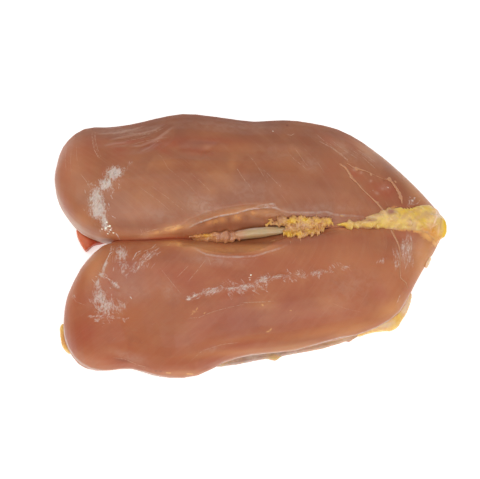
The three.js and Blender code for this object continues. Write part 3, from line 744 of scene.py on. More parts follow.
FATTY = [
    (177, 228.6, 8, 2.4, -14, 0.75), (162, 231.5, 9, 1.8, -12, 0.5), (180, 244, 6, 3, 30, 0.4),
    (225, 250, 18, 3.6, 0, 0.35), (255, 249, 14, 3, -6, 0.3), (216, 221.5, 4.5, 3, -20, 0.5),
    (237, 217, 5, 3.6, 0, 0.5), (253, 213, 4, 2.6, 0, 0.45), (428, 236, 9, 5, 35, 1),
    (418, 231.5, 9, 2.5, 12, 0.9), (436, 243, 5, 5, 35, 1), (402, 229.5, 14, 1.6, 3, 1),
    (392, 208, 10, 1.5, -15, 0.5),
]
print("patches:", sum(len(marks) for marks in (BLUSH, TAN, MILK, DARK_SPECKS_AND_SHADE, PAINTED_LIGHT, FATTY)))

# %% Fine threads and specks of fat
THREADS = lines_of([
    (0.6, 118, 131, 132, 128.5, 146, 124.5), (0.45, 122, 141.5, 138, 138.5, 152, 135),
    (0.4, 128, 146, 142, 141.5, 157, 138.5, 170, 137), (0.35, 66, 146, 65, 158, 66.5, 172),
    (0.3, 71, 150, 70.5, 162, 72, 176), (0.3, 76, 143, 76.5, 155, 79, 168),
    (0.5, 327, 141, 340, 153, 350, 163), (0.5, 331, 139, 346, 151, 360, 160),
    (0.6, 350, 148, 362, 156, 374, 166), (0.5, 356, 148, 368, 156, 378, 163),
    (0.5, 364, 158, 372, 165, 378, 170), (0.5, 295, 148, 305, 163, 309, 167),
    (0.3, 303, 147, 318, 163, 325, 174),
    (0.8, 90.8, 130.5, 92, 140.7, 94, 149.6, 98.5, 157.3, 103, 159.8),
    (0.6, 94, 130.5, 95.3, 140.7, 97.8, 149.6, 101.7, 157.3),
    (0.5, 113.8, 135.6, 129, 133.7, 147, 132.4, 160, 128),
    (0.5, 118.9, 138.8, 139.3, 135.6, 155.9, 131.8, 168, 125),
    (0.3, 154.6, 150.9, 162, 157.3, 168.6, 168.8, 187.8, 184, 200, 197),
    (0.4, 150.8, 185.4, 168.6, 198, 173.7, 202.6, 187.8, 213.4),
    (0.35, 140, 187, 158, 200, 172, 212), (0.4, 190, 172.6, 200.5, 181.5, 212, 193),
    (0.8, 236, 167.5, 246, 182.8), (0.5, 248, 154.5, 254.7, 162.6, 262, 174, 268, 184),
    (0.45, 261.4, 168, 284.2, 190.7), (0.6, 286.9, 151, 293.6, 158.6, 307, 170),
    (0.45, 240, 174.6, 248, 184, 254, 194), (0.6, 315, 131.8, 333.7, 149.2, 345, 158),
    (0.9, 317.7, 139.8, 336.4, 150.5, 349.8, 162.6), (0.9, 340, 152, 346, 158, 352, 163),
    (0.8, 287, 134.3, 291.5, 135.2, 295, 133), (0.7, 80.7, 173.6, 87, 181.4, 92, 190),
    (0.6, 139, 238, 143, 234, 149, 231.5, 160, 228.5), (0.5, 143, 233, 141.5, 229),
    (0.4, 147, 232, 146, 228.5), (0.5, 73, 293.7, 78, 301, 88, 304.5),
    (0.5, 70, 345, 78, 357, 92, 367, 112, 369),
    (0.8, 113.8, 356, 126.5, 358, 139.3, 363.8, 150, 366),
    (0.7, 134, 259, 141, 253, 150, 249, 158, 246), (0.6, 136, 271, 144, 262, 156, 255),
    (0.5, 161, 267, 171, 279.6, 182.6, 293.7), (0.6, 177.6, 277, 190.3, 264.3),
    (0.6, 187.8, 282, 198, 270, 208, 257), (0.9, 186, 299, 193, 296, 200.5, 293),
    (0.5, 203, 252, 209, 258, 212, 266), (0.5, 190.3, 360, 203, 349, 222, 343, 241, 341),
    (0.7, 188, 317, 200, 316, 212, 311, 228.6, 306.4, 235, 305, 246.4, 303),
    (0.8, 240, 301.7, 262.8, 301, 273.5, 300.4), (0.3, 330, 302, 345, 308, 362, 312),
    (0.3, 312, 237.4, 330, 232.5, 347, 228.4),
])
LIPIDS = lines_of([
    (4, 166.5, 371, 172, 371.4), (3, 187, 372.2, 194, 372.8),
    (0.7, 191, 315, 195, 311, 197.5, 308, 199.5, 304.5), (0.5, 193, 309, 196, 311.5),
    (0.9, 204, 312.4, 207, 311), (1, 265.4, 331, 269, 330, 271.5, 327), (1, 261, 303, 263.5, 305),
    (0.9, 289, 309.5, 292, 310), (1, 357, 336, 364, 335, 373, 332.5),
    (1, 262, 357, 270, 358, 281, 356), (0.8, 168, 246, 172, 242, 178, 240),
    (0.7, 164, 229, 172, 227, 182, 225),
])
print("threads:", len(THREADS), "specks of fat:", len(LIPIDS))

# %% Paint the lobes
SEAM_REACH, SEAM_WIDTH = 0.003, 0.0012
# Pale rims: the cut membrane's own edge with a painted highlight, and a painted reflection along
# the outlines
RIMS_AND_SHEEN = [
    (CUT_RIM_FAR, 1), (CUT_RIM_LIP, 0.6), (CUT_RIM_NEAR, 0.5), (SEAM_MEMBRANE, 0.4),
    (NEAR_EDGE, 0.8), (SHOULDER_EDGE, 0.8), (TOP_EDGE, 0.4), (NEAR_OUTLINE, 0.6),
]
# a wider painted rim light along the outlines
RIM_LIGHT_LINES = [(NEAR_OUTLINE, 0.8), (NEAR_EDGE, 0.25), (SHOULDER_EDGE, 0.5)]
PATCHES = {
    "blush": BLUSH, "tan": TAN, "milk": MILK, "dark_specks_and_shade": DARK_SPECKS_AND_SHADE, "painted_light": PAINTED_LIGHT, "wet_and_painted_shine": WRINKLED,
}
FINE_MARKS = {
    "rim_and_sheen": RIMS_AND_SHEEN, "painted_rim_light": RIM_LIGHT_LINES, "fold": FOLDS, "thread": THREADS, "lipid": LIPIDS,
    "glint": PAINTED_GLINTS, "sparkle": PAINTED_SPARKLES,
}


def paint_lobe(lobe, other):
    """Stores every painted mark of a muscle on its points, also how near the seam is."""
    for name, marks in PATCHES.items():
        store(lobe, name, daubs(lobe, marks))
    store(lobe, "by_fat", daubs(lobe, FATTY) * 1.3)
    # painted light: where the meat faces sideways or down it is painted paler
    store(lobe, "flank", sideways(lobe, 0.3))
    gap = gaps_to(points_of(lobe)[0], [other], SEAM_REACH)[0]
    store(lobe, "by_seam", np.exp(-((gap / SEAM_WIDTH) ** 2)))
    for name, lines in FINE_MARKS.items():
        beside, ink = strokes(lobe, lines)
        store(lobe, name + "_beside", beside * 1000)
        store(lobe, name + "_ink", ink)


paint_lobe(breast_far, "lobe_near")
paint_lobe(breast_near, "lobe_far")
print("painted layers:", [a.name for a in breast_far.data.attributes if a.data_type == "FLOAT"])

# %% [markdown]
# Raw breast meat is a clouded pink that lets light in, with fine pale fibres under a glossy film.
# Subsurface scattering gives the clouded look. The fibres fan out from the seam, straight across
# it at first and then leaning towards the shoulder end. So the streaks are stretched noise over a
# bent coordinate, the same number all along one fibre, rather than over plain x and y. The
# colour's layers go from the flesh up: painted shade on the far shoulder, clouds and mottle, tan
# and bloody patches, the fibres, milky membrane, the seam, painted light on lit patches and on the
# flanks, painted shade on the far band and in folds and hollows with a few dark specks, and the fat
# that rims it.

# %% The meat finish
meat = Finish(
    "meat",
    Subsurface_Weight=0.35,
    Subsurface_Scale=0.002,
    Subsurface_Radius=(1.0, 0.4, 0.2),
    Specular_IOR_Level=0.5,
)
at = meat.place()
x, y, z = meat.axes(at)
out_from_seam = (y * y + 0.0001) ** 0.5 - 0.01
fibre = x + out_from_seam * (0.92 - x * 5.0)
along_fibre = meat.vector(fibre, y * 0.05, z * 0.05)
fine_fibres = meat.noise(along_fibre, 1900, 3, 0.55)
fibre_bands = meat.noise(along_fibre, 420, 2, 0.5)
clouds = meat.noise(at, 40, 2, 0.5, 0.4)
mottle = meat.noise(at, 130, 4, 0.62)
speckle = meat.noise(at, 900, 2, 0.5)
print("nodes for the fibres:", len(meat.tree.nodes))

# %% The meat's colour
near_side = meat.step(y, 0.004, -0.012)
# painted shade: the far band, where the lobe turns away from the light, is painted darker and made
# rougher
shaded_far_band = meat.step(y, 0.044, 0.06)
milk, by_seam, by_fat = (meat.painted(name) for name in ("milk", "by_seam", "by_fat"))
fibre_lines = meat.step(fine_fibres, 0.6, 0.74) * meat.step(mottle, 0.44, 0.6)
cloudy = milk * meat.step(meat.noise(at, 300, 4, 0.65, 0.6), 0.35, 0.65)
seam_tone = meat.mix(meat.step(x, 0.04, 0.02), tone(206, 144, 112), tone(184, 76, 44))
fatty = by_fat * meat.step(meat.noise(at, 520, 3, 0.6) + by_fat * 0.25, 0.5, 0.66)
flesh = meat.layered(
    meat.mix(near_side, tone(152, 90, 59), tone(167, 88, 50)),
    # painted shade: the far shoulder turns away from the light and is painted darker
    (meat.step(y, 0.035, 0.062), tone(138, 80, 53)),
    (meat.step(clouds, 0.36, 0.7) * 0.55, tone(177, 107, 64)),
    (meat.step(mottle, 0.46, 0.72) * 0.45, tone(152, 79, 46)),
    (meat.step(meat.noise(at, 75, 3, 0.55, 0.5), 0.5, 0.76) * 0.2, tone(194, 132, 84)),
    (meat.painted("tan") * (0.6 + 0.5 * mottle), tone(204, 138, 82)),
    (meat.painted("blush") * (0.45 + 0.6 * mottle), tone(164, 74, 44)),
    (meat.step(fibre_bands, 0.45, 0.7) * 0.06, tone(196, 146, 112)),
    (fibre_lines * 0.15, tone(208, 166, 138)),
    (cloudy * 0.3 + milk * 0.18, tone(204, 172, 152)),
    (by_seam * 0.85, seam_tone),
    # painted light
    (meat.painted("painted_light") * 0.34, tone(224, 156, 112)),
    # painted light on the flanks that face sideways or down
    (meat.painted("flank") * meat.step(mottle, 0.3, 0.6, 0.35, 0.7), tone(206, 172, 148)),
    # painted shade over the far band
    (shaded_far_band * 0.33, tone(120, 62, 38)),
    # painted shade, with a few dark specks of the meat
    (meat.painted("dark_specks_and_shade") * 0.55, tone(112, 54, 34)),
    (fatty * 0.8, tone(234, 172, 98)),
)
print("nodes up to the flesh:", len(meat.tree.nodes))

# %% [markdown]
# Over the meat lie fine threads, the rims of the cut membrane and the wet film itself. Where the
# film has slipped it wrinkles, and the wrinkles catch a pale, ragged shine. Lamps alone don't give
# that shine at this size, so it's a painted highlight in the colour as well as gloss and relief.
# The pale rims are partly painted highlight, and a painted rim of reflected light runs along the
# outlines.

# %% Lines over the meat
def line_of(name, half_width):
    """Where a painted fine line runs, 0 to 1, from its distance and its strength."""
    beside = abs(meat.painted(name + "_beside")) + (mottle - 0.5) * half_width
    return meat.step(beside, half_width * 1.5, half_width * 0.4) * meat.painted(name + "_ink")


threads = line_of("thread", 0.15) * meat.step(speckle, 0.3, 0.6)
torn = meat.noise(at, 420, 3, 0.6)
# the pale rims, partly the membrane's edge, partly painted highlight and reflection
rims = line_of("rim_and_sheen", 0.5) * meat.step(torn, 0.36, 0.6, 0.3, 1.0)
lipids = line_of("lipid", 0.34) * meat.step(speckle, 0.32, 0.55)
# painted highlights: hair-thin glints on the wrinkles
painted_glints = line_of("glint", 0.2) * meat.step(speckle, 0.34, 0.6, 0.15, 1.0)
print("nodes up to the lines:", len(meat.tree.nodes))

# %% The wet film
# the wet patches are glossier, and a painted highlight is washed over them in the colour
wet_and_painted_shine = meat.painted("wet_and_painted_shine")
wrinkles = meat.noise(meat.vector(x, y * 0.5, z), 1050, 4, 0.62, 1.0)
combed = meat.noise(meat.vector(x + y * 0.15, y * 0.12, z * 0.3), 1300, 4, 0.62, 0.3)
slanted = meat.noise(meat.vector((x + y) * 0.25, x - y, 0.0), 1700, 3, 0.6, 0.5)
by_tail = meat.step(x, 0.055, 0.066)
wrinkles = wrinkles * (1 - by_tail) + combed * by_tail
on_crest = meat.step(x, -0.034, -0.028) * (1 - by_tail)
wrinkles = wrinkles * (1 - on_crest) + slanted * on_crest
ragged = wet_and_painted_shine + (speckle - 0.5) * 0.5 + (mottle - 0.5) * 0.7 + (wrinkles - 0.5) * 1.1
highlight_wash = meat.step(ragged, 0.3, 0.9) * meat.step(wet_and_painted_shine, 0.0, 0.2) * 0.44
highlight_sparks = meat.step(wet_and_painted_shine, 0.3, 0.8) * meat.step(meat.noise(at, 1700, 2, 0.6), 0.62, 0.72)
highlight_streaks = meat.step(wet_and_painted_shine, 0.05, 0.6) * meat.step(wrinkles + wet_and_painted_shine * 0.16, 0.5, 0.72)
painted_shine = (highlight_wash + highlight_streaks * 0.26 + highlight_sparks * 0.25) * (1.04 + near_side * -0.24)

meat_colour = meat.layered(
    flesh,
    (threads * 0.6, tone(214, 180, 152)),
    # painted rim light along the outlines
    (line_of("painted_rim_light", 1.1) * 0.5, tone(216, 190, 178)),
    (line_of("fold", 0.7) * 0.3, tone(200, 158, 138)),
    # pale rims, partly painted highlight and reflection
    (rims * 0.7, tone(210, 194, 186)),
    (lipids * 0.6, tone(222, 168, 104)),
    # painted highlight: wash, streaks and sparks on the wet film
    (painted_shine, tone(222, 210, 200)),
    # painted glints
    (painted_glints * 0.75, tone(234, 224, 214)),
    # painted sparkles of highlight
    (line_of("sparkle", 0.3), tone(255, 250, 232)),
)
gloss = 0.4 + shaded_far_band * 0.4 - wet_and_painted_shine * 0.16 + (mottle - 0.5) * 0.12 - rims * 0.1 - painted_glints * 0.1
relief = meat.bump(fine_fibres + fibre_bands * 1.5, 0.00005, 0.5)
relief = meat.bump(wrinkles * wet_and_painted_shine, 0.0006, Normal=relief)
relief = meat.bump(threads + rims + painted_glints, 0.00012, 0.8, Normal=relief)
meat.finish(Base_Color=meat_colour, Roughness=gloss, Normal=relief)
print("nodes of the meat:", len(meat.tree.nodes))
finish_piece(breast_far, meat, "meat", "lobe_far")
finish_piece(breast_near, meat, "meat", "lobe_near")

# %% [markdown]
# ## Fat, tissue and cartilage
# Fat on a carcass is a mass of small soft grains that cling together, torn into wisps where the
# skin was pulled off. It's grown from lumps: many small ellipsoids dropped on the CAD solid's
# place with seeded draws, and one skin over them all. A wisp is a string of shrinking lumps.

# %% Lumps
def add_lump(bm, centre, size, turn=None, subdivisions=2):
    """Adds an ellipsoid with half sizes size at centre to a bmesh."""
    turn = turn or Quaternion()
    scaled = Matrix.LocRotScale(centre, turn, Vector(size))
    bmesh.ops.create_icosphere(bm, subdivisions=subdivisions, radius=1.0, matrix=scaled)


def chance_turn(draw):
    """A turn in a random direction."""
    return Quaternion([draw.gauss(0, 1) for _ in range(4)]).normalized()


def add_wisp(bm, start, heading, length, thickness, draw):
    """A thin torn thread: a string of shrinking lumps that wanders off from start."""
    place, heading = start.copy(), heading.normalized()
    count = max(4, round(length / (thickness * 0.8)))
    for i in range(count):
        left = 1 - i / count
        size = thickness * (0.35 + 0.65 * left)
        add_lump(bm, place, (size, size, size), subdivisions=1)
        stray = Vector((draw.gauss(0, 0.25), draw.gauss(0, 0.25), draw.gauss(0, 0.2)))
        heading = (heading + stray).normalized()
        place += heading * (length / count)


print("lump helpers are ready")

# %% [markdown]
# The crumbly clump at the tail end of the hollow is the most broken fat: deep yellow grains about
# one millimetre wide, with ragged sides and a few hooks of torn tissue. Noise on a smooth skin
# would only dimple it, so the grains are real lumps, and the CAD solid is their core.

# %% Keel fat
def on_solid(node, u, v):
    """Where the line of sight meets a CAD solid, or None, and the normal there."""
    place, normal, _, _ = solid_surfaces[node].ray_cast(sight_start(u, v), SIGHT)
    if place is not None and normal.dot(SIGHT) > 0:
        normal = -normal
    return place, normal


def shrink(bm, depth):
    """Pulls a closed bmesh in by depth along its normals."""
    bm.normal_update()
    for vertex in bm.verts:
        vertex.co -= vertex.normal * depth


def add_grains(bm, node, area, count, sizes, stretch, draw, sunk):
    """Drops lumps on what's seen of a CAD solid in an area of pixels, sunk a part of their size."""
    left, right, top, bottom = area
    while count:
        u, v = draw.uniform(left, right), draw.uniform(top, bottom)
        place, normal = on_solid(node, u, v)
        if place is None:
            continue
        size = draw.choice(sizes)
        half_sizes = [size * draw.uniform(1, stretch), size * draw.uniform(0.7, 1), size * 0.7]
        add_lump(bm, place - normal * size * draw.uniform(*sunk), half_sizes, chance_turn(draw))
        count -= 1


CLUMP_AREA = (276, 335, 216, 243)  # left, right, top and bottom pixel
TUFT_ROWS = ((217.5, 225), (229, 239))
HOOKS = (
    [(278, 229), (271, 229.5), (267, 226.5), (265.4, 223.4)],
    [(266.4, 225.4), (269, 222), (272.6, 219.6)],
)
TORN_WISPS = (  # u, v and which way each leans and rises
    (268, 232, -1, 0), (284, 215, 0.4, 1), (292, 214, -0.3, 1), (300, 214, 1, 0.6),
    (308, 215, 0, 1), (316, 216, 0.3, 1), (330, 219, 1, 0.4), (331, 227, 1, -0.2),
    (325, 231, 0.6, -0.8), (312, 235, 1, -0.5), (300, 240, 0.3, -1), (290, 241, 0, -1),
    (275, 240, -1, -0.6), (280, 214, -1, 0.4),
)


def add_tufts(bm, count, draw):
    """Stands short ridges of fat up along both sides of the clump."""
    for _ in range(count):
        row = draw.choice(TUFT_ROWS)
        place, normal = on_solid("keel_fat", draw.uniform(277, 334), draw.uniform(*row))
        if place is not None:
            aim = UPWARD + Vector((draw.gauss(0, 0.35), 0, draw.gauss(0, 0.15)))
            half_sizes = (draw.uniform(0.0003, 0.00045), draw.uniform(0.0007, 0.0015), 0.00045)
            add_lump(bm, place + normal * 0.0001, half_sizes, aim.to_track_quat("Y", "Z"))


def crumbly_fat():
    """The clump: grains and tufts on its core, two hooks of tissue and a fringe of wisps."""
    draw = random.Random(11)
    bm = merged_copy(["keel_fat"])
    shrink(bm, 0.0007)
    sizes = (0.0006, 0.0008, 0.001)
    add_grains(bm, "keel_fat", CLUMP_AREA, 110, sizes, stretch=1.6, draw=draw, sunk=(0.4, 0.8))
    add_tufts(bm, 170, draw)
    for path in HOOKS:
        for start, stop in zip(path, path[1:]):
            begin, end = on_meat(*start, 0.0008)[0], on_meat(*stop, 0.0008)[0]
            for step in range(5):
                add_lump(bm, begin.lerp(end, step / 5), (0.00055, 0.0005, 0.0005))
    for u, v, lean, rise in TORN_WISPS:
        place, normal = on_solid("keel_fat", u, v)
        if place is None:
            place, normal = on_meat(u, v)
        aim = Vector((lean, rise, draw.uniform(-0.1, 0.5)))
        add_wisp(bm, place, aim, draw.uniform(0.0016, 0.0034), 0.00036, draw)
    clump = skin("keel_fat_clump", bm, voxel=0.00027, rounds=4)
    cling(clump, LOBES, near=0.0008, far=0.0014)
    return clump


keel_fat_clump = crumbly_fat()

# %% [markdown]
# Every fat here is built of the same three things: bright grains, deeper colour between them and a
# pinkish film that clings in places. So one recipe serves all, with tones and a grain for each. A
# thin edge of fat is clear, and lets the meat under it show. Points near the meat are painted so.

# %% The fat recipe
def paint_fat(piece, lemon=(), orange=(), cream=(), veiled=(), thin=0.0008):
    """Stores where a fat is lemon, orange, cream or under a film, and where it's thin."""
    painted = {"lemon": lemon, "orange": orange, "cream": cream, "veiled": veiled}
    for name, marks in painted.items():
        store(piece, name, daubs(piece, marks))
    places, _ = points_of(piece)
    store(piece, "thin", np.clip(1.15 - gaps_to(places, LOBES)[0] / thin, 0, 1))


def fat_finish(name, deep, bright, pale, pink, grain, filmy=0.55):
    """A fat's finish: bright grains, deeper colour between them, and a pinkish film in places."""
    fat = Finish(
        name,
        Subsurface_Weight=0.4,
        Subsurface_Scale=0.0008,
        Subsurface_Radius=(1.0, 0.65, 0.25),
        Coat_Roughness=0.15,
    )
    at = fat.place()
    lumps = fat.noise(at, grain, 3, 0.6)
    fine = fat.noise(at, grain * 2.6, 3, 0.6)
    film = fat.noise(at, grain * 0.35, 4, 0.6)
    worn = fat.step(fine, 0.3, 0.6, 0.65, 1.0)
    colour = fat.layered(
        fat.mix(fat.step(lumps, 0.4, 0.62), deep, bright),
        (fat.step(fine, 0.56, 0.7) * 0.5, pale),
        (fat.step(film, 0.5, 0.68) * filmy, pink),
        (fat.painted("cream") * worn * 0.9, tone(236, 200, 160)),
        (fat.painted("orange") * worn * 0.95, tone(220, 150, 56)),
        (fat.painted("lemon") * worn * 0.95, tone(232, 188, 38)),
        (fat.painted("veiled") * 0.9, tone(176, 120, 92)),
        (fat.painted("thin") * fat.step(lumps, 0.65, 0.4, 0.25, 0.75), tone(200, 140, 98)),
    )
    fat.finish(
        Base_Color=colour,
        Roughness=0.36 + film * 0.2,
        Coat_Weight=0.2 + fat.step(film, 0.4, 0.6) * 0.3,
        Normal=fat.bump(lumps + fine * 0.4, 0.00012, 0.5),
    )
    return fat


keel_tones = tone(190, 134, 88), tone(214, 162, 86), tone(236, 198, 112), tone(192, 140, 104)
keel_fat = fat_finish("keel_fat", *keel_tones, grain=620, filmy=0.3)
paint_fat(
    keel_fat_clump,
    orange=[(292, 233, 12, 5, 0, 0.35), (318, 226, 14, 5, -10, 0.3)],
    lemon=[
        (291, 221, 6, 3.4, 0, 0.9), (305, 220, 5, 3, 0, 0.9), (288, 234, 6, 3.4, 0, 0.9),
        (329, 222, 6, 4, 0, 0.6), (317, 221, 4, 2.4, 0, 0.6), (298, 234, 4, 3, 0, 0.6),
        (278, 232, 3, 2, 0, 0.4), (309, 231, 4, 2, 0, 0.5), (268, 223, 4, 3, 0, 0.6),
        (311, 226, 5, 2, 0, 0.4),
    ],
    cream=[(303, 226, 12, 2, 0, 0.6), (272, 227, 8, 4, 0, 0.4), (290, 228, 10, 2, 0, 0.4)],
    veiled=[
        (300, 213.6, 40, 2.2, 0, 1), (280, 218, 8, 4, 0, 0.8), (321, 216, 12, 2, 0, 0.9),
        (305, 226.5, 26, 1.2, 2, 0.35), (296, 241.5, 26, 2, -10, 0.8), (320, 237, 14, 2, -18, 0.5),
    ],
)
finish_piece(keel_fat_clump, keel_fat, "keel_fat", "keel_fat")

# %% [markdown]
# From the clump on, the fat runs along the keel line as a smoother, lobed strip and widens over
# the tail. Its tip carries a pinkish gristle, a clear orange part below, and one bright yellow
# bead. Fewer and larger lumps, ridges laid along paths and more smoothing give it its soft folds.

# %% Tail fat
def add_streak(bm, width, height, sunk, *pixels):
    """Lays a low ridge of fat along a path of pixels on the meat."""
    for u, v in walk(pixels, 1.6):
        place, normal = on_meat(u, v)
        taper = 0.75 + 0.25 * noise.noise(place / 0.002)
        half_sizes = (0.0011, width * taper, height * taper)
        add_lump(bm, place - normal * height * sunk, half_sizes, normal.to_track_quat("Z", "Y"))


CAP_AREA = (350, 447, 204, 243)  # left, right, top and bottom pixel
STRIP_RIDGES = (  # width, height, how much of it is sunk, and its path
    (0.0009, 0.0007, 0.45, (337, 225), (344, 225.5), (352, 224)),
    (0.0004, 0.0004, 0.45, (352, 222), (362, 221.5), (372, 221)),
    (0.001, 0.0006, 0.45, (362, 217), (370, 215.5), (378, 214), (386, 213)),
    (0.0005, 0.0004, 0.45, (340, 215.5), (345, 217)),
    (0.0006, 0.0005, 0.45, (338, 229), (341, 228)),
    (0.0005, 0.0004, 0.45, (329, 226), (334, 225.4), (339, 225.2)),
)
TIP_RIDGES = (
    (0.0015, 0.0008, 0.6, (386, 228.6), (401, 229.2), (413, 229.8), (423, 231.6), (431, 234),
     (437, 237.6)),
    (0.0022, 0.0014, 0.5, (428, 232), (434, 234.5), (438, 237.5), (440.5, 241)),
    (0.0016, 0.0022, 0.2, (430, 231), (435, 234), (438.5, 236.5)),
    (0.0022, 0.0017, 0.3, (431, 234.5), (435, 238), (437.5, 241), (437, 244)),
    (0.002, 0.0016, 0.4, (438, 238.5), (440, 241), (439, 244)),
    (0.0018, 0.0017, 0.3, (422, 206.5), (429, 206), (434.5, 207.5), (438.5, 211), (441, 216)),
    (0.0014, 0.0017, 0.2, (425, 209.5), (430, 209.5), (434, 211), (437.5, 214)),
)
BEAD = [
    (443.5, 220, 0.0014), (445, 223.5, 0.0017), (445.5, 227.5, 0.0018), (445.5, 231.5, 0.0017),
    (444.5, 235.5, 0.0014),
]


def tail_cap():
    """The strip and its tip: soft grains and ridges, the tendon that crosses it, and the bead."""
    draw = random.Random(5)
    bm = merged_copy(["tail_fat"])
    shrink(bm, 0.00025)
    sizes = (0.0008, 0.0012, 0.0016)
    add_grains(bm, "tail_fat", CAP_AREA, 48, sizes, stretch=2, draw=draw, sunk=(0.5, 0.85))
    for ridge_of_fat in STRIP_RIDGES:
        add_streak(bm, *ridge_of_fat)
    for i in range(22):
        place, normal = on_solid("tail_fat", 379 + i * 0.62, 205.5 + i * 0.68)
        if place is not None:
            add_lump(bm, place + normal * 0.0001, (0.0008, 0.0008, 0.0006))
    for ridge_of_fat in TIP_RIDGES:
        add_streak(bm, *ridge_of_fat)
    for u, v, size in BEAD:
        place, normal = on_solid("tail_fat", u, v)
        if place is not None:
            add_lump(bm, place - normal * size * 0.4, (size, size * 1.2, size))
    cap = skin("tail_fat_cap", bm, voxel=0.00036, rounds=16)
    cling(cap, LOBES, near=0.001, far=0.0018)
    return cap


tail_fat_cap = tail_cap()
tail_tones = tone(208, 164, 98), tone(226, 190, 98), tone(238, 210, 134), tone(208, 166, 128)
tail = fat_finish("tail_fat", *tail_tones, grain=260)
paint_fat(
    tail_fat_cap,
    lemon=[
        (447.4, 227, 3.4, 13, 0, 3), (424, 221, 7, 6, 0, 0.8), (405, 211, 12, 3.5, -10, 0.8),
        (415, 214, 10, 4, 0, 0.6), (427, 208, 8, 3, 8, 0.7), (345, 225, 8, 3, 0, 0.9),
        (372, 224.5, 18, 2.6, 0, 0.6), (395, 222, 12, 3, 0, 0.4), (446, 233, 3, 6, 10, 2),
    ],
    orange=[(433, 233, 9, 9, 0, 1.1), (438, 241, 7, 9, 0, 1), (426, 230, 6, 4, 0, 1)],
    cream=[
        (438, 213, 6, 7, -30, 1.1), (384.5, 211.4, 6, 1.1, 47, 0.8), (371, 217, 7, 1.2, -4, 0.9),
        (366, 218, 5, 0.8, -10, 0.8), (436, 220, 0.9, 9, 22, 2), (431, 229, 0.8, 8, -14, 1.8),
        (439, 231, 0.8, 6, 8, 1.8), (427, 224, 6, 0.8, 32, 1.6), (434, 226, 5, 0.8, -30, 1.5),
        (382, 215, 14, 4, -12, 0.4), (412, 223, 10, 3, 0, 0.6), (430, 224, 3, 8, 10, 0.7),
        (392, 220, 8, 3, 0, 0.6),
    ],
    veiled=[
        (391, 211.5, 5.5, 3.6, 0, 1.3), (361, 219.5, 7, 1.8, -15, 1.2), (370, 220.5, 6, 1.2, 0, 1),
        (381, 208.5, 8, 2.4, -16, 1), (441.6, 221, 0.9, 7, 5, 0.6), (390, 230, 30, 1.6, 2, 0.7),
    ],
)
finish_piece(tail_fat_cap, tail, "tail_fat", "tail_fat")

# %% [markdown]
# The keel cartilage is a smooth, clouded bar, pale with a touch of green, and faintly streaked
# along its length. Its CAD solid has the right shape, so a fine skin with faint waves is enough.
# The streaks are noise squeezed along the bar, and the light that enters it spreads far.

# %% Cartilage
def cartilage_bar():
    """The bare cartilage, with faint waves drawn out along it."""
    bm = merged_copy(["keel_cartilage"])
    bar = skin("cartilage_bar", bm, voxel=0.00028, rounds=4)
    places, normals = points_of(bar)
    waves = 0.00012 * ripple(places * np.array([0.4, 1, 1]), size=0.0015, seed=3)
    move_points(bar, places + normals * waves[:, None])
    return bar


keel_bar = cartilage_bar()
pale_lines = [
    (252, 228.6, 18, 1.4, -4, 1.2), (240, 230.5, 5, 0.9, -20, 0.8), (246, 239.4, 12, 0.8, 0, 0.4),
]
store(keel_bar, "pale_line", daubs(keel_bar, pale_lines))
gristle = Finish(
    "cartilage",
    Subsurface_Weight=0.4,
    Subsurface_Scale=0.001,
    Subsurface_Radius=(1.0, 0.8, 0.5),
    Coat_Roughness=0.1,
)
at = gristle.place()
x, y, z = gristle.axes(at)
streaks = gristle.noise(gristle.vector(x * 0.12, y, z), 1400, 3, 0.6)
patches = gristle.noise(at, 260, 3, 0.6)
bands = gristle.noise(gristle.vector(x, y * 0.3, z * 0.3), 420, 2, 0.5)
colour = gristle.layered(
    gristle.mix(gristle.step(streaks, 0.35, 0.7) * 0.5, tone(182, 156, 112), tone(198, 176, 136)),
    (gristle.step(bands, 0.42, 0.62) * 0.5, tone(196, 156, 110)),
    (gristle.step(patches, 0.5, 0.72) * 0.4, tone(214, 180, 118)),
    (gristle.step(x, 0.0, -0.005) * 0.7, tone(202, 146, 112)),
    (gristle.painted("pale_line") * 0.6, tone(214, 202, 192)),
)
gristle.finish(
    Base_Color=colour, Roughness=0.4, Coat_Weight=0.3, Normal=gristle.bump(streaks, 0.00006, 0.4)
)
finish_piece(keel_bar, gristle, "cartilage", "keel_cartilage")

# %% [markdown]
# Orange tissue runs on from the cartilage's thin end in soft beads, and thins to a point. It's
# made as the fats are, from lumps on its CAD solid, but smoothed until the lumps are beads.

# %% Strand
STRAND_AREA = (188, 233, 229, 243)  # left, right, top and bottom pixel


def tissue_strand():
    """The beaded strand, and the heap of beads where it starts at the cartilage's thin end."""
    draw = random.Random(23)
    bm = merged_copy(["keel_strand"])
    shrink(bm, 0.0001)
    sizes = (0.0005, 0.0007, 0.001)
    add_grains(bm, "keel_strand", STRAND_AREA, 50, sizes, stretch=1.8, draw=draw, sunk=(0.3, 0.8))
    low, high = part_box("keel_cartilage")
    end = Vector((low.x, (low.y + high.y) / 2 - 0.0016, high.z - 0.0022))
    for _ in range(24):
        reach = draw.random()
        aside = draw.uniform(-0.0024, 0.0024) * (1 - reach * 0.3)
        size = draw.uniform(0.0006, 0.0009)
        place = end + Vector((reach * 0.0042 - 0.0012, aside, 0))
        add_lump(bm, place, (size * 1.3, size, size), chance_turn(draw))
    strand = skin("tissue_strand", bm, voxel=0.00026, rounds=14)
    cling(strand, LOBES, near=0.0008, far=0.0014)
    return strand


strand = tissue_strand()
tissue_tones = tone(184, 124, 88), tone(206, 146, 90), tone(224, 182, 130), tone(182, 120, 98)
tissue = fat_finish("keel_tissue", *tissue_tones, grain=600)
paint_fat(
    strand,
    lemon=[(207, 235, 5, 3, 0, 0.5)],
    orange=[(203, 235, 12, 4, 0, 0.5)],
    veiled=[(228, 234, 9, 6, 0, 0.9)],
)
finish_piece(strand, tissue, "keel_tissue", "keel_strand")

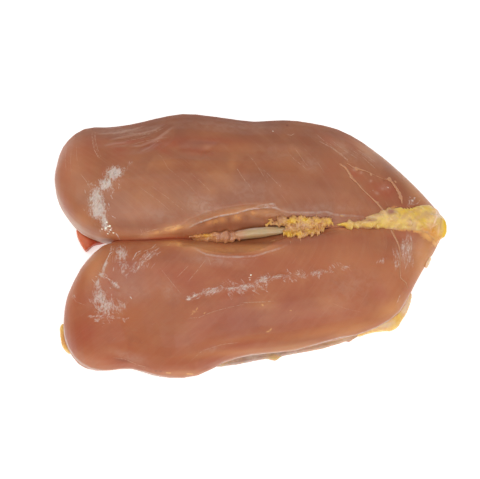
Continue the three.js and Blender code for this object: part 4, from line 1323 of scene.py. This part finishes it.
# %% [markdown]
# ## Tendons and scraps
# Where the muscles were cut free near the tail, a few thin tendons stay on the membrane. Each is a
# thread that swells into a small knot here and there, so it's strung from overlapping lumps too.

# %% Tendons
def thread(bm, pixels, thickness, draw):
    """Strings flat lumps along rows of u, v and width on the meat."""
    for u, v, wide in walk(pixels, 0.9):
        place, normal = on_meat(u, v)
        size = thickness * wide * draw.uniform(0.85, 1.2)
        half_sizes = (size, size, thickness * 0.5)
        turn = normal.to_track_quat("Z", "Y")
        add_lump(bm, place + normal * thickness * 0.1, half_sizes, turn, 1)


TENDON_LONG = [
    (340, 164, 0.9), (345.5, 167.5, 1.1), (350, 174.6, 1.3), (352, 178, 1.2), (357, 183, 0.8),
    (362, 189, 0.8), (370, 196.5, 0.7), (377, 203, 1.1), (382, 209, 1.2), (388, 217, 1.2),
]
TENDON_LONG_KNOTS = [
    (341, 164.6, 0.0006), (346, 168.5, 0.0006), (351, 176.5, 0.0008), (377.5, 203, 0.0007),
]
TENDON_SHORT = [
    (347, 163, 0.5), (352, 166.5, 0.6), (356.5, 168.5, 1.1), (361, 169.5, 0.9), (366, 171, 0.5),
    (374, 174.6, 0.4), (384, 179, 0.4), (390, 179, 1.1), (393, 182.5, 1.2), (396.5, 187.5, 1.4),
    (400, 193.4, 1.6), (402, 199, 1.2), (402.4, 204, 0.5),
]
TENDON_SHORT_KNOTS = [
    (356.5, 168.7, 0.0009), (371, 174.5, 0.0006), (390, 179, 0.001), (401, 197, 0.001),
    (396, 181.5, 0.0006),
]
TENDON_NEAR = [
    (391.3, 230.7, 1.2), (393, 234, 1.5), (396.7, 241, 1.4), (399, 247, 1), (400, 253.5, 0.8),
    (399.4, 268.2, 0.8), (400, 277.6, 0.8), (406, 283, 0.7), (407.4, 289.6, 0.5),
]


def tendon(name, pixels, knots, thickness, seed):
    """One tendon: its thread, and a flat knot at each row of u, v and size."""
    draw = random.Random(seed)
    bm = bmesh.new()
    thread(bm, pixels, thickness, draw)
    for u, v, size in knots:
        place, normal = on_meat(u, v)
        add_lump(bm, place, (size * 1.3, size * 1.1, size * 0.4), normal.to_track_quat("Z", "Y"))
    return skin(name, bm, voxel=0.00018, rounds=2)


tendon_tones = tone(176, 116, 82), tone(188, 132, 94), tone(204, 156, 120), tone(174, 112, 84)
tendon_finish = fat_finish("tendon", *tendon_tones, grain=500)
for name, pixels, knots, thickness in (
    ("tendon_long", TENDON_LONG, TENDON_LONG_KNOTS, 0.00055),
    ("tendon_short", TENDON_SHORT, TENDON_SHORT_KNOTS, 0.00055),
    ("tendon_near", TENDON_NEAR, [], 0.0005),
):
    made = tendon(name + "_thread", pixels, knots, thickness, len(pixels))
    paint_fat(made)
    finish_piece(made, tendon_finish, "tendon", name)

# %% [markdown]
# The scrap of red meat under the shoulder, the thin layer below the near edge and the bits of fat
# beside them keep their CAD shapes. A fine skin rounds them, and small ripples take off the
# machined look. The scrap is a torn strip of inner meat, redder than the muscles around it.

# %% Red scrap
def soft_scrap(name, bm, voxel, rounds, ripples, seed):
    """A scrap's skin with ripples, which clings to the lobes where it lies close to them."""
    piece = skin(name, bm, voxel, rounds)
    places, normals = points_of(piece)
    lift = sum(depth * ripple(places, size, seed + i) for i, (depth, size) in enumerate(ripples))
    move_points(piece, places + normals * lift[:, None])
    cling(piece, LOBES)
    return piece


bm = merged_copy(["meat_flap"])
ripples = ((0.0003, 0.003), (0.0001, 0.001))  # depth and size
flap = soft_scrap("meat_scrap", bm, voxel=0.00034, rounds=6, ripples=ripples, seed=31)
store(flap, "flank", sideways(flap, 0.5))
red_meat = Finish(
    "red_meat",
    Subsurface_Weight=0.4,
    Subsurface_Scale=0.002,
    Subsurface_Radius=(1.0, 0.35, 0.2),
    Specular_IOR_Level=0.4,
)
at = red_meat.place()
x, y, z = red_meat.axes(at)
strips = red_meat.noise(red_meat.vector(x * 0.3, y, z), 900, 3, 0.6)
under_shoulder = red_meat.step(x, -0.080, -0.071)
colour = red_meat.layered(
    red_meat.mix(under_shoulder, tone(222, 116, 70), tone(206, 58, 28)),
    (red_meat.step(strips, 0.45, 0.7) * 0.3, tone(214, 132, 88)),
    (red_meat.painted("flank") * 0.7, tone(188, 104, 78)),
)
red_meat.finish(Base_Color=colour, Roughness=0.4, Normal=red_meat.bump(strips, 0.0001, 0.5))
finish_piece(flap, red_meat, "red_meat", "meat_flap")

# %% [markdown]
# The layer that shows below the near edge is rib-side membrane with a little fat in it: milky,
# thin and dull. A row of lumps at its end fills the corner where it runs in under the fat.

# %% Under layer
bm = merged_copy(["under_layer"])
for i in range(12):
    spot = Vector((0.0465 + i * 0.0006, -0.0445 + i * 0.0004, 0.0012))
    add_lump(bm, spot, (0.0012, 0.0011, 0.0008))
ripples = ((0.0002, 0.004), (0.0001, 0.0012))
film_layer = soft_scrap("rib_film", bm, voxel=0.0004, rounds=2, ripples=ripples, seed=37)
lemon_spots = [(274, 358, 9, 4, 0, 1), (222, 362, 14, 3, -10, 0.5), (340, 339, 16, 3, -20, 0.4)]
store(film_layer, "lemon", daubs(film_layer, lemon_spots))
film = Finish(
    "film",
    Subsurface_Weight=0.4,
    Subsurface_Scale=0.001,
    Coat_Weight=0.2,
    Coat_Roughness=0.15,
)
at = film.place()
x = film.axes(at)[0]
cloud = film.noise(at, 220, 4, 0.6)
colour = film.layered(
    film.mix(film.step(cloud, 0.35, 0.65), tone(186, 150, 132), tone(212, 190, 177)),
    (film.step(x, 0.012, 0.03) * 0.7, tone(212, 166, 130)),
    (film.step(film.noise(at, 90, 3, 0.6), 0.54, 0.62) * 0.6, tone(234, 196, 128)),
    (film.painted("lemon") * 0.8, tone(228, 188, 108)),
)
film.finish(Base_Color=colour, Roughness=0.4, Normal=film.bump(cloud, 0.0002, 0.5))
finish_piece(film_layer, film, "film", "under_layer")

# %% [markdown]
# The bits of fat at the edges are smooth, cream to yellow, and shine a little. They're too small
# for lumps of their own, so they share one recipe, and smoothing and ripples give them their form.

# %% Edge fat
edge_tones = tone(236, 178, 88), tone(246, 206, 112), tone(246, 222, 170), tone(236, 200, 164)
edge_fat = fat_finish("edge_fat", *edge_tones, grain=300)
SIDE_LUMPS = ((0.0838, -0.0084, 0.0046), (0.0845, -0.0068, 0.0047), (0.0851, -0.0052, 0.0044))
BITS = {"shoulder_fat": "shoulder_bit", "flank_fat": "flank_bit", "side_fat": "side_bit"}
for node, name in BITS.items():
    bm = merged_copy([node])
    if node == "side_fat":
        for spot in SIDE_LUMPS:
            add_lump(bm, Vector(spot), (0.0011, 0.0018, 0.0015))
    if node == "shoulder_fat":
        shrink(bm, -0.0009)
    ripples = ((0.0002, 0.002), (0.0001, 0.0008))
    bit = soft_scrap(name, bm, voxel=0.0003, rounds=9, ripples=ripples, seed=41)
    paint_fat(
        bit,
        lemon=[(398, 318, 3.4, 7, 25, 0.7), (394, 325, 6, 3, -20, 0.3)],
        orange=[(65, 338, 5, 14, 0, 0.8)],
        cream=[(407, 305, 6, 13, 20, 1.6), (388, 325, 12, 4, -20, 1.2), (428, 262, 6, 10, 0, 2)],
        thin=0.0002,
    )
    finish_piece(bit, edge_fat, "edge_fat", node)

# %% [markdown]
# ## Table, light and camera
# The table is plain and white. The light is a broad, even glow from all round, as in a light
# tent, with a softbox up on the left that the wet shoulders mirror and a narrow one overhead for
# the crests.

# %% Table and light
TABLE_REACH = 3.0  # metres from its middle to each side
GLOW = 0.55
bm = bmesh.new()
bmesh.ops.create_grid(bm, x_segments=2, y_segments=2, size=TABLE_REACH)
table_mesh = bpy.data.meshes.new("table")
bm.to_mesh(table_mesh)
bm.free()
table = bpy.data.objects.new("table", table_mesh)
scene.collection.objects.link(table)
white = Finish("table_white", Roughness=0.9, Specular_IOR_Level=0.1, Emission_Strength=0.5)
white.finish(Emission_Color=(1, 1, 1, 1))
grain = white.noise(white.place(), 3.0, 2, 0.5)
white.finish(Base_Color=white.mix(grain, tone(244, 244, 244), tone(247, 247, 247)))
table.data.materials.append(white.material)

world = bpy.data.worlds.new("glow")
world.use_nodes = True
glow = world.node_tree.nodes["Background"].inputs
glow["Color"].default_value, glow["Strength"].default_value = (1, 1, 1, 1), GLOW
scene.world = world
scene.view_settings.view_transform = "Standard"
BREAST_MIDDLE = Vector((0, 0, 0.015))


def softbox(name, direction, distance, wide, high, power):
    """A rectangular lamp that looks at the breast's middle from a direction."""
    lamp = bpy.data.lights.new(name, "AREA")
    lamp.shape, lamp.size, lamp.size_y, lamp.energy = "RECTANGLE", wide, high, power
    box = bpy.data.objects.new(name, lamp)
    aim = Vector(direction).normalized()
    box.location = BREAST_MIDDLE + aim * distance
    box.rotation_euler = aim.to_track_quat("Z", "Y").to_euler()
    scene.collection.objects.link(box)
    print(name, "at", [round(c, 2) for c in box.location])


softbox("front_softbox", (0.2, -0.6, 0.77), distance=1.1, wide=1.0, high=0.7, power=4.2)
softbox("left_softbox", (-0.42, 0.14, 0.9), distance=0.9, wide=0.22, high=0.4, power=1.4)
softbox("crest_strip", (0.16, 0.19, 0.96), distance=0.9, wide=0.5, high=0.09, power=0.6)

# %% [markdown]
# The camera has a long lens, so that it sees the breast almost without perspective, as the lines
# of sight do. It looks from the same 75 degrees as the picture, and frames the same pixels.

# %% Camera
PICTURE = (480, 479)  # pixels
FOCAL_LENGTH, SENSOR = 250, 36  # millimetres
TARGET_RISE = 0.012  # the lens frames the meat's top, not the table
lens = bpy.data.cameras.new("camera")
lens.lens, lens.sensor_width = FOCAL_LENGTH, SENSOR
stand_off = PICTURE[0] * PIXEL / (SENSOR / FOCAL_LENGTH)
camera = bpy.data.objects.new("camera", lens)
target = in_plane(PICTURE[0] / 2, PICTURE[1] / 2) - SIGHT * TARGET_RISE
camera.location = target - SIGHT * stand_off
camera.rotation_euler = (-SIGHT).to_track_quat("Z", "Y").to_euler()
lens.clip_end = 20
scene.collection.objects.link(camera)
scene.camera = camera
print("camera stands off", round(stand_off, 2), "m")
